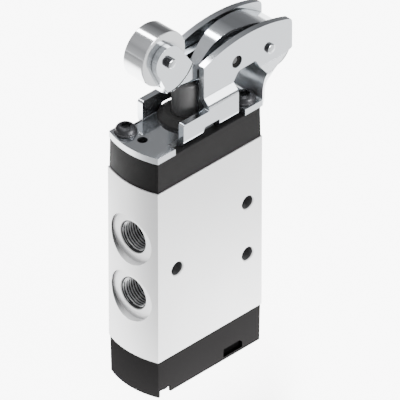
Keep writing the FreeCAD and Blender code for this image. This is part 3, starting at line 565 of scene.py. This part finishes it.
# Painted shade: a darker copy of the plating for the wall and shelf inside the hoop, rougher to dull their
# reflections
shelf_dull_painted_shade = finish_nodes("shelf_dull_painted_shade", (0.55, 0.57, 0.59), 1.0, 0.42, 0.35, 0.05, 0.03, 0.2,
                            recess=sheet_painted_shade)

# Turned and wound pieces
# The roller takes painted shade where other surfaces close in
roller_steel = finish_nodes("roller_steel", (0.76, 0.775, 0.79), 1.0, 0.12, 0.12, 0.12, 0.04, 0.25,
                            about_roller, recess=(5.0, 0.15))
pin_steel = finish_nodes("pin_steel", (0.6, 0.62, 0.64), 1.0, 0.16, 0.12, 0.1, 0.05, 0.3)
# Painted shade: a near-black copy of the pin steel for the pins' sides and the floor of the lever's step
# groove
painted_side_shade = finish_nodes("painted_side_shade", (0.04, 0.04, 0.042), 0.8, 0.3, 0.12, 0.1, 0.05, 0.3)
stem_steel = finish_nodes("stem_steel", (0.085, 0.084, 0.084), 0.25, 0.5, 0.1, 0.2, 0.08, 0.15,
                          about_stem, gloss=0.2)
screw_black = finish_nodes("screw_black", (0.035, 0.035, 0.038), 0.6, 0.38, 0.12, 0.3, 0.15, 0.25, gloss=0.2)
spool_alloy = finish_nodes("spool_alloy", (0.68, 0.69, 0.70), 1.0, 0.22, 0.1, 0.2, 0.05, 0.3, about_stem)
spring_wire = finish_nodes("spring_wire", (0.42, 0.43, 0.45), 1.0, 0.3, 0.1, 0.2, 0.08, 0.3)
bronze = finish_nodes("bush_bronze", (0.46, 0.30, 0.13), 1.0, 0.3, 0.1, 0.25, 0.08, 0.3, about_roller)


# Valve body: smooth curved ends, spot faces, threaded ports and through holes

def port_hollow(side, z):
    face = BODY_DEPTH / 2
    profile = [(0, -3.0), (8.0, -3.0), (8.0, 0.0), (5.15, 0.0), (PORT_MAJOR + 0.01, 0.45),
               (PORT_MAJOR + 0.01, 9.5), (PORT_MINOR - 0.2, 9.9), (3.1, 9.9), (3.1, 15.5), (0, 15.5)]
    points = [(radius, side * (face - depth)) for radius, depth in profile]
    return lathe("port_hollow", points, "Y", (0, z), 72)


def valve_body():
    face_y = BODY_DEPTH / 2
    body = prism("valve_body_shell", end_curved(BODY_WIDTH, BODY_DEPTH), "Z", BODY_BOTTOM, BODY_TOP)
    for side, z in PORTS:
        cut(body, port_hollow(side, z))
    near_end = [(0, -11), (HOLE_MOUTH_RADIUS, -11), (HOLE_MOUTH_RADIUS, -10), (HOLE_RADIUS, -9.7)]
    far_end = [(radius, -x) for radius, x in reversed(near_end)]
    for place in HOLES:
        cut(body, lathe("hole", near_end + far_end, "X", place, 64))
    cut(body, rod("bore", 7.0, "Z", (0, 0), BODY_BOTTOM - 1, BODY_TOP + 1, 72))
    finish(body, "housing", alloy, ["valve_body"], 0.2, 30)
    for material in (painted_hole_shade, painted_edge_highlight, spot_wall_painted_light):
        body.data.materials.append(material)
    # The bevels take the painted edge highlight
    body.modifiers["edges"].material = 2
    for face in body.data.polygons:
        x, y, z = (c / MM for c in face.center)
        # The through-hole walls and the deep port bores take the painted shade
        for hole_y, hole_z in HOLES:
            if abs(x) < 9.6 and math.hypot(y - hole_y, z - hole_z) < 2.3:
                face.material_index = 1
        for side, port_z in PORTS:
            from_axis = math.hypot(x, z - port_z)
            if 9.0 < face_y - side * y < 17.0 and from_axis < 4.9:
                face.material_index = 1
            # The spot-face walls take the painted light and shade
            if side * y > face_y + 0.05 and 7.8 < from_axis < 8.1 and abs(face.normal.y) < 0.2:
                face.material_index = 3
    for side, z in PORTS:
        low, high = sorted((side * (face_y - 0.15), side * (face_y - 9.4)))
        name = "port_thread_%s_%d" % ("front" if side < 0 else "rear", int(round(z)))
        thread = helix_thread(name, PORT_MINOR, PORT_MAJOR, PORT_THREAD_PITCH, "Y", (0, z), low, high)
        finish(thread, "housing", thread_crest, (), 0, 60)
        thread.data.materials.append(painted_thread_shade)
        # Faces nearer the root than the crest take the painted thread shade
        thread_shade_from = (0.55 * PORT_MAJOR + 0.45 * PORT_MINOR) * MM
        for face in thread.data.polygons:
            if math.hypot(face.center.x, face.center.z - z * MM) > thread_shade_from:
                face.material_index = 1


# End caps

def cap_shell(name, z_wide, z_narrow):
    wide = end_curved(CAP_WIDTH, CAP_DEPTH)
    narrow = end_curved(CAP_WIDTH - 2 * CAP_DRAFT, CAP_DEPTH - 2 * CAP_DRAFT)
    return tapered(name, wide, narrow, z_wide, z_narrow)


def top_cap():
    cap = cap_shell("top_cap_shell", BODY_TOP, CAP_TOP)
    cut(cap, rod("shank_room", 6.0, "Z", (0, 0), BODY_TOP - 1, CAP_TOP + 1))
    for place in BRACKET_SCREWS:
        cut(cap, rod("screw_room", SCREW_ROOM, "Z", place, BODY_TOP - 1, CAP_TOP + 1, 32))
    cut(cap, rod("vent", VENT_RADIUS, "Z", VENT, CAP_TOP - 3.5, CAP_TOP + 1, 32))
    finish(cap, "housing", cap_black, ["top_cap"], 0.2, 32, 3)


def base_cap():
    cap = cap_shell("base_cap_shell", BODY_BOTTOM, 0)
    cut(cap, rod("spring_room", 5.0, "Z", (0, 0), SPRING_SEAT, BODY_BOTTOM + 1))
    for place in BASE_SCREWS:
        cut(cap, rod("screw_room", SCREW_ROOM, "Z", place, -1, BODY_BOTTOM + 1, 32))
        cut(cap, rod("head_room", 2.95, "Z", place, -1, 3.0, 48))
    pocket = rounded([(-8.0, -19.4, 0.6), (8.6, -19.4, 0.6), (8.6, -14.6, 0.6), (-8.0, -14.6, 0.6)], 6)
    cut(cap, prism("pocket", pocket, "Z", -1, 2.1))
    cut(cap, box("notch", 8.0, 11.0, -19.5, -15.3, -1, 2.1))
    slot = rounded([(5.7, 0.9, 0.25), (13.2, 0.9, 0.25), (13.2, 2.7, 0.2), (12.2, 3.7, 0.2),
                    (5.7, 3.7, 0.25)], 6)
    cut(cap, prism("slot", slot, "X", BODY_WIDTH / 2 - 1.6, BODY_WIDTH / 2 + 1))
    finish(cap, "housing", base_black, ["base_cap"], 0.2, 32, 3)
    cap.data.materials.append(painted_slot_shade)
    # The inside of the slot takes the painted shade
    for face in cap.data.polygons:
        x, y, z = (c / MM for c in face.center)
        if 8.3 < x < 9.6 and 5.6 < y < 13.3 and 0.85 < z < 3.75:
            face.material_index = 1


# Folded sheet bracket

def cheek_side():
    front = (CHEEK_FRONT_Y, CHEEK_CORNER_Z)
    rear = (CHEEK_REAR_Y, CHEEK_CORNER_Z)
    crown = arc_through(front, CHEEK_CROWN, rear, 48)
    lower = rounded([
        (*front, 0), (*rear, 0), (CHEEK_REAR_Y, 92.3, 0.5), (32.2, 91.3, 1.0), (23.9, 89.2, 0.5),
        (20.7, 94.6, 0.8), (14.0, 94.4, 1.5), (12.0, 91.6, 0.6), (12.0, CAP_TOP - 1, 0),
        (-9.6, CAP_TOP - 1, 0), (-9.6, 88.3, 0.8), (CHEEK_FRONT_Y, 88.3, 0.3)], 8)
    return crown + lower[2:]


def flap_and_cheek():
    """The side of the bracket at +X: flap, joggle, crowned cheek and the window under it."""
    path = [(0, CAP_TOP + 1, 0), (8.2, CAP_TOP + 1, 1.5), (8.2, 89.1, 1.3), (6.05, 91.2, 1.3), (6.05, 108, 0)]
    side = prism("bracket_sheet", strip(path, SHEET, 14), "Y", -9.7, 35.3)
    meet(side, prism("cheek_side", cheek_side(), "X", 0.5, 20))

    def at_corner(vert):
        return math.hypot(vert.co.y - CHEEK_REAR_Y, vert.co.z - CHEEK_CORNER_Z) < 0.02

    round_edges(side, lambda a, b: at_corner(a) and at_corner(b), CHEEK_REAR_CORNER)
    window = [(-3.6, CAP_TOP - 1), (-3.0, CAP_TOP), (-1.2, 83.8), (4.3, 83.8), (4.9, CAP_TOP),
              (4.9, CAP_TOP - 1)]
    cut(side, prism("window", window, "X", 6.6, 20))
    return side


def bracket():
    under, over = CAP_TOP - 1, PLATE_TOP + 1
    sheet = flap_and_cheek()
    far = mirrored(sheet, "far_cheek")
    plate = prism("plate", end_curved(CAP_WIDTH, CAP_DEPTH), "Z", CAP_TOP, PLATE_TOP)
    cut(plate, box("rear_room", -12, 12, 19.9, 30, under, over))
    for x0, x1 in ((6.6, 12), (-12, -6.6)):
        cut(plate, box("side_room", x0, x1, -13.3, 15.6, under, over))
    wall = [(14.0, CAP_TOP + 1, 0), (WALL_Y, CAP_TOP + 1, 1.6), (WALL_Y, 87.3, 3.0), (36.0, 87.8, 5.0),
            (36.0, 96.6, 5.0), (24.8, 103.8, 21.0), (10.9, 105.1, 12.0), (4.0, 97.8, 0)]
    hoop = prism("hoop", strip(wall, SHEET, 20), "X", -10, 10)
    low = new_object("hoop_low", hoop.data.copy())
    wall_x = BODY_WIDTH / 2 - CAP_INSET
    low_plan = [(wall_x, 0), (wall_x, 20.9), (wall_x - 1.2, 22.9), (HOOP_HALF_WIDTH, 31.5),
                (HOOP_HALF_WIDTH, 38)]
    meet(low, prism("low_plan", both_sides(low_plan), "Z", 0, HOOP_SPLIT_Z))
    high_plan = [(HOOP_TIP_HALF_WIDTH, 2), (HOOP_HALF_WIDTH, 29.5), (HOOP_HALF_WIDTH, 38)]
    meet(hoop, prism("high_plan", both_sides(high_plan), "Z", HOOP_SPLIT_Z, 120))
    for other in (far, plate, low, hoop):
        join(sheet, other)
    cut(sheet, rod("shank_room", 6.1, "Z", (0, 0), under, over, 72))
    cut(sheet, rod("ring_room", 7.95, "Z", (0, 0), PLATE_TOP, PLATE_TOP + 4, 72))
    for place in BRACKET_SCREWS:
        cut(sheet, rod("screw_room", SCREW_ROOM, "Z", place, under, over, 32))
    cut(sheet, rod("vent", VENT_RADIUS, "Z", VENT, under, over, 40))
    cut(sheet, rod("pivot_room", 1.36, "X", PIVOT, -12, 12, 40))
    cut(sheet, rod("button_room", 1.93, "X", BUTTON, -12, 12, 48))
    finish(sheet, "housing", plated, ["bracket"], 0.14, 30, 3)
    for material in (cut_edge, cheek_edge_painted_shade, shelf_dull_painted_shade):
        sheet.data.materials.append(material)
    for face in sheet.data.polygons:
        x, y, z = (c / MM for c in face.center)
        turned_x = abs(face.normal.x)
        on_shelf = z > PLATE_TOP and y > 19.5
        if face.normal.y < -0.9 and y < -19 and z < PLATE_TOP:
            face.material_index = 1
        # The cheeks' front edges take the painted shade
        elif face.normal.y < -0.9 and abs(y - CHEEK_FRONT_Y) < 0.05:
            face.material_index = 2
        elif y > 29 and turned_x > 0.98 and abs(abs(x) - HOOP_HALF_WIDTH) < 0.1:
            face.material_index = 1
        elif on_shelf and 21.5 < y < 32 and z < HOOP_SPLIT_Z and 0.5 < turned_x < 0.98:
            face.material_index = 1
        # The wall and shelf inside the hoop take the painted shade
        elif on_shelf and z < 89 and (face.normal.y < -0.2 or face.normal.z > 0.3):
            face.material_index = 3


# Pressed lever

def lever_outline():
    """Side outline of the lever, and its toe."""
    cy, cz = ROLLER
    front = math.radians(25.3)
    back = math.radians(35.0)
    fy, fz = cy - LEVER_EAR_RADIUS * math.cos(front), cz - LEVER_EAR_RADIUS * math.sin(front)
    by, bz = cy + LEVER_EAR_RADIUS * math.cos(back), cz + LEVER_EAR_RADIUS * math.sin(back)
    nose = Vector((-0.5, 0.86)).normalized() * LEVER_EAR_RADIUS
    toe = (fy + (fz - LEVER_TOE_Z) * math.tan(front), LEVER_TOE_Z)
    points = arc_through((by, bz), (cy + nose.x, cz + nose.y), (fy, fz), 40)
    points += [toe] + LEVER_RUN
    low = math.radians(-90)
    top = math.asin((LEVER_BACK_Z - PIVOT[1]) / LEVER_TAIL_RADIUS)
    for step in range(25):
        angle = low + (top - low) * step / 24
        points.append((PIVOT[0] + LEVER_TAIL_RADIUS * math.cos(angle),
                       PIVOT[1] + LEVER_TAIL_RADIUS * math.sin(angle)))
    points.append((by + (bz - LEVER_BACK_Z) * math.tan(back), LEVER_BACK_Z))
    return points, toe


def round_bottom(obj, half, corners, radius):
    """Rounds the long lower edges of a channel."""
    def on_run(vert):
        if abs(abs(vert.co.x) - half) > 1e-4:
            return False
        return any(abs(vert.co.y - y) < 1e-3 and abs(vert.co.z - z) < 1e-3 for y, z in corners)

    return round_edges(obj, lambda a, b: on_run(a) and on_run(b) and a.co.x * b.co.x > 0, radius)


def lever():
    outline, toe = lever_outline()
    run = [toe] + LEVER_RUN
    shape = round_bottom(prism("lever_channel", outline, "X", -5.85, 5.85), 5.85, run, 2.2)
    meet(shape, rod("near_roller", LEVER_STEP_RADIUS, "X", ROLLER, -10, 10, 128))
    join(shape, round_bottom(prism("narrow", outline, "X", -4.7, 4.7), 4.7, run, 2.2))
    knee_y, knee_z = LEVER_RUN[0]
    slope = (knee_z - toe[1]) / (knee_y - toe[0])
    inside = [(y, z + SHEET) for y, z in LEVER_RUN]
    inner_floor = [(-40.0, inside[0][1] - slope * (knee_y + 40.0))] + inside + [(60.0, inside[-1][1])]
    above = inner_floor + [(60.0, 140.0), (-40.0, 140.0)]
    cut(shape, round_bottom(prism("hollow", above, "X", -2.7, 2.7), 2.7, inner_floor, 0.6))
    pocket = prism("pocket", above, "X", -3.85, 3.85)
    cut(shape, meet(pocket, rod("round_pocket", 9.3, "X", ROLLER, -10, 10, 128)))
    cut(shape, box("open_rear", -2.7, 2.7, 22.5, 40, 90, 110))
    for side in (-1, 1):
        groove = [(10.1, side * 5.3), (10.6, side * 5.3), (10.6, side * 6.2), (10.1, side * 6.2)]
        cut(shape, lathe("step_groove", groove, "X", ROLLER, 160))
    cut(shape, rod("pin_room", 1.42, "X", ROLLER, -10, 10, 40))
    cut(shape, rod("pivot_room", 1.55, "X", PIVOT, -10, 10, 40))
    finish(shape, "lever_arm", plated, ["lever"], 0.12, 30, 3)
    shape.data.materials.append(painted_side_shade)
    # The floor of the step groove takes the painted shade, a dark line round the ear
    for face in shape.data.polygons:
        x, y, z = (c / MM for c in face.center)
        if 5.25 < abs(x) < 5.84 and 10.05 < math.hypot(y - ROLLER[0], z - ROLLER[1]) < 10.65:
            face.material_index = 1


# Roller, pins, plunger, spring, guide and screws

def roller():
    r = 8.5
    w = 3.75
    profile = [(3.0, -w + 0.12), (3.12, -w), (r - 0.4, -w), (r - 0.12, -w + 0.1), (r, -w + 0.38),
               (r, w - 0.38), (r - 0.12, w - 0.1), (r - 0.4, w), (3.12, w), (3.0, w - 0.12)]
    wheel = lathe("roller_wheel", profile, "X", ROLLER, 160)
    finish(wheel, "roller_wheel", roller_steel, ["roller"], 0, 40)


def round_pin(name, radius, half, centre, body, stands_for, crown):
    profile = [(0, -half), (radius - crown, -half), (radius - crown * 0.3, -half + crown * 0.3),
               (radius, -half + crown), (radius, half - crown), (radius - crown * 0.3, half - crown * 0.3),
               (radius - crown, half), (0, half)]
    pin = finish(lathe(name, profile, "X", centre, 64), body, pin_steel, [stands_for], 0, 50)
    pin.data.materials.append(painted_side_shade)
    # The pin's sides take the painted shade, and its ends keep the plain steel
    for face in pin.data.polygons:
        if abs(face.normal.x) < 0.6:
            face.material_index = 1


def buttons():
    pads = None
    for side in (-1, 1):
        profile = [(0, 4.75), (1.95, 4.75), (1.95, 6.25), (1.8, 6.4), (1.15, 6.4), (0.95, 6.15), (0, 6.1)]
        pad = lathe("guide_button_pads", [(r, side * x) for r, x in profile], "X", BUTTON, 64)
        pads = pad if pads is None else join(pads, pad)
    finish(pads, "housing", cap_black, ["guide_buttons"], 0, 40)
    pads.data.materials.append(button_centre)
    for face in pads.data.polygons:
        x, y, z = (c / MM for c in face.center)
        if abs(x) > 5.9 and math.hypot(y - BUTTON[0], z - BUTTON[1]) < 1.0:
            face.material_index = 1


def plunger():
    edge_drop = PLUNGER_DOME - math.sqrt(PLUNGER_DOME * PLUNGER_DOME - PLUNGER_RADIUS * PLUNGER_RADIUS)
    profile = [(0, 72.0), (4.4, 72.0), (4.8, 72.4), (4.8, 73.6), (4.4, 74.0), (3.9, 74.0),
               (3.9, PLUNGER_TOP - edge_drop - 0.2)]
    for step in range(14, -1, -1):
        radius = PLUNGER_RADIUS * step / 14
        height = math.sqrt(PLUNGER_DOME * PLUNGER_DOME - radius * radius)
        profile.append((radius, PLUNGER_TOP - PLUNGER_DOME + height))
    stem = lathe("plunger_stem", profile, "Z", (0, 0), 96)
    finish(stem, "valve_stem", stem_steel, ["plunger"], 0, 40)


def return_spring():
    """Open coil of the return spring."""
    seat, top = SPRING_SEAT, BODY_BOTTOM + 1.5
    wire, mean, turns, steps, sides = 0.4, 3.1, 5, 240, 16
    start = seat + wire + 0.02
    height = top - seat - 2 * wire - 0.04
    verts = []
    faces = []
    for step in range(steps + 1):
        angle = 2 * math.pi * turns * step / steps
        for side in range(sides):
            turn = 2 * math.pi * side / sides
            radius = mean + wire * math.cos(turn)
            verts.append((radius * math.cos(angle), radius * math.sin(angle),
                          start + height * step / steps + wire * math.sin(turn)))
    for step in range(steps):
        here, ahead = step * sides, (step + 1) * sides
        for side in range(sides):
            after = (side + 1) % sides
            faces.append((here + side, here + after, ahead + after, ahead + side))
    faces.append(tuple(range(sides)))
    faces.append(tuple(range(steps * sides, (steps + 1) * sides)))
    coil = mesh_object("return_spring_coil", verts, faces)
    finish(coil, "housing", spring_wire, ["return_spring"], 0, 60)
    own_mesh(coil)


def guide():
    outline = rounded([(3.96, 74.2, 0), (6.0, 74.2, 0.4), (6.0, PLATE_TOP, 0), (7.85, PLATE_TOP, 0),
                       (7.85, PLATE_TOP + 0.9, 0.5), (5.8, PLATE_TOP + 2.3, 0.7),
                       (3.96, PLATE_TOP + 2.3, 0.3)], 6)
    ring = lathe("guide_ring", outline, "Z", (0, 0), 96)
    finish(ring, "housing", guide_black, ["plunger_guide"], 0, 40)


def bracket_screws():
    z = PLATE_TOP
    profile = [(0, z - 16.0), (1.1, z - 16.0), (1.25, z - 15.8), (1.25, z - 3.0), (1.5, z - 2.6), (1.5, z),
               (3.15, z), (3.3, z + 0.12), (3.3, z + 0.5), (3.2, z + 0.62), (3.04, z + 0.68), (3.0, z + 0.8),
               (2.96, z + 1.25), (2.82, z + 1.6), (2.6, z + 1.9), (2.3, z + 2.15), (1.95, z + 2.33),
               (1.8, z + 2.4), (0, z + 2.4)]
    heads = None
    threads = []
    for x, y in BRACKET_SCREWS:
        screw = lathe("bracket_screw_heads", profile, "Z", (x, y), 72)
        recess = [(x + u, y + v) for u, v in six_lobe(1.65)]
        cut(screw, prism("recess", recess, "Z", z + 1.2, z + 4))
        heads = screw if heads is None else join(heads, screw)
        name = "screw_thread_%s" % ("front" if y < 0 else "rear")
        threads.append(helix_thread(name, 1.5, 1.26, 0.5, "Z", (x, y), z - 15.8, z - 3.0, 32, 8))
    finish(heads, "housing", screw_black, ["bracket_screws"], 0.05, 40)
    for thread in threads:
        finish(thread, "housing", screw_black, (), 0, 60)


valve_body()
top_cap()
base_cap()
bracket()
lever()
roller()
round_pin("roller_axle", 1.58, 7.35, ROLLER, "lever_arm", "roller_pin", 0.45)
round_pin("pivot_axle", 1.5, 7.95, PIVOT, "housing", "pivot_pin", 0.3)
buttons()
plunger()
return_spring()
guide()
bracket_screws()

# The pieces that keep their CAD shape; the replaced ones aren't seen and take a plain steel
kept = {
    "top_gasket": rubber, "base_gasket": rubber, "spool_seals": rubber, "wiper_seal": rubber,
    "seal_cages": cage_dark, "spool": spool_alloy,
    "base_screws": screw_black, "pivot_sleeve": pin_steel, "roller_bush": bronze,
}
for name in kept:
    smooth(nodes[name], 35)
for name, node in nodes.items():
    node.data.materials.clear()
    node.data.materials.append(kept.get(name, pin_steel))


# Pale floor, soft studio light and the camera of the photo

FLOOR_BRIGHT = 8.0
FLOOR_DIM = 0.9
FLOOR_REACH = 6
KEY_POWER = 100


def floor_ramp(tree, value, start, end, low, high):
    return ramp(tree, value, start, end, low, high, "SMOOTHERSTEP")


def floor_light(tree):
    """The floor's own light: bright round the part, dim to the right and towards the camera and sides."""
    place = split(tree, "Object")
    toward = maths(tree, "SUBTRACT", place["X"], place["Y"])
    across = maths(tree, "ADD", place["X"], place["Y"])
    # The strip that shows right of the part stays bright, as the photo's background is
    strip_seen = maths(tree, "MULTIPLY", floor_ramp(tree, across, 0.028, 0.052, 0.0, 1.0),
                       floor_ramp(tree, across, 0.088, 0.105, 1.0, 0.0))
    glow = tree.nodes.new("ShaderNodeMix")
    glow.data_type = "FLOAT"
    tree.links.new(strip_seen, glow.inputs[0])
    tree.links.new(floor_ramp(tree, place["X"], -0.01, 0.09, FLOOR_BRIGHT, FLOOR_DIM), glow.inputs[2])
    glow.inputs[3].default_value = FLOOR_BRIGHT
    near = maths(tree, "MULTIPLY", glow.outputs[0], floor_ramp(tree, toward, 0.022, 0.085, 1.0, 0.05))
    sides = maths(tree, "MULTIPLY", floor_ramp(tree, across, -0.42, -0.1, 0.0, 1.0),
                  floor_ramp(tree, toward, -0.7, -0.26, 0.04, 1.0))
    return maths(tree, "MULTIPLY", near, sides)


floor_corners = [(x * FLOOR_REACH, y * FLOOR_REACH, 0) for x, y in ((-1, -1), (1, -1), (1, 1), (-1, 1))]
floor = mesh_object("floor", floor_corners, [(0, 1, 2, 3)])
floor_paint = finish_nodes("floor_paint", (0.36, 0.36, 0.36), 0.0, 0.8, 60.0, 0.0, 0.01, 0.05)
floor_shader = principled(floor_paint.node_tree)
floor_shader.inputs["Emission Color"].default_value = (1, 1, 1, 1)
floor_paint.node_tree.links.new(floor_light(floor_paint.node_tree), floor_shader.inputs["Emission Strength"])
floor.data.materials.append(floor_paint)
floor.location.z = -0.0005

world = bpy.data.worlds.new("studio")
bpy.context.scene.world = world
world.use_nodes = True
sky = world.node_tree
sky.nodes.clear()
sky_out = sky.nodes.new("ShaderNodeOutputWorld")
sky_light = sky.nodes.new("ShaderNodeBackground")
sky.links.new(sky_light.outputs[0], sky_out.inputs[0])
sky_place = split(sky, "Generated")
sky_ramp = sky.nodes.new("ShaderNodeValToRGB")
sky.links.new(ramp(sky, sky_place["Z"], -1.0, 1.0, 0.0, 1.0), sky_ramp.inputs[0])
stops = sky_ramp.color_ramp.elements
stops[0].position = 0.0
stops[0].color = (0.45, 0.45, 0.46, 1)
stops[1].position = 1.0
stops[1].color = (0.8, 0.81, 0.83, 1)
for position, value in ((0.5, 0.4), (0.54, 0.2), (0.72, 0.145), (0.86, 0.3)):
    stop = stops.new(position)
    stop.color = (value, value, value * 1.02, 1)
sky.links.new(sky_ramp.outputs[0], sky_light.inputs["Color"])
sky.links.new(ramp(sky, sky_place["Y"], -0.75, -0.2, 3.2, 1.15), sky_light.inputs["Strength"])


def emitter(name, size, place, aim, power):
    light = bpy.data.lights.new(name, "AREA")
    light.shape = "RECTANGLE"
    light.size = size[0]
    light.size_y = size[1]
    light.energy = power
    obj = new_object(name, light)
    obj.location = place
    obj.rotation_euler = (Vector(aim) - Vector(place)).to_track_quat("-Z", "Y").to_euler()


emitter("key", (1.0, 0.6), (1.9, 0.45, 0.36), (0, 0, 0.06), KEY_POWER)
emitter("streak", (0.3, 0.8), (-0.94, 0.06, 1.4), (0, 0, 0.1), 13)
emitter("back_right", (0.7, 0.7), (1.0, 1.0, 1.05), (0, 0, 0.08), 8)
emitter("overhead", (1.0, 1.0), (0.1, -0.3, 2.0), (0, 0, 0.05), 28)

CAMERA_TARGET = Vector((5.912, 0.0, 56.644)) * MM
CAMERA_DISTANCE = 3.1116

camera_data = bpy.data.cameras.new("camera")
camera = new_object("camera", camera_data)
camera_data.lens = 998.9
camera_data.sensor_width = 36.0
camera_data.clip_start = 0.1
camera_data.clip_end = 50.0
back = Vector((0.5799, -0.5734, 0.5787)).normalized()
up = back.cross(Vector((0.7031, 0.7111, 0.0)).normalized())
right = up.cross(back)
turned_to = Matrix((right, up, back)).transposed().to_4x4()
camera.matrix_world = Matrix.Translation(CAMERA_TARGET + back * CAMERA_DISTANCE) @ turned_to
bpy.context.scene.camera = camera
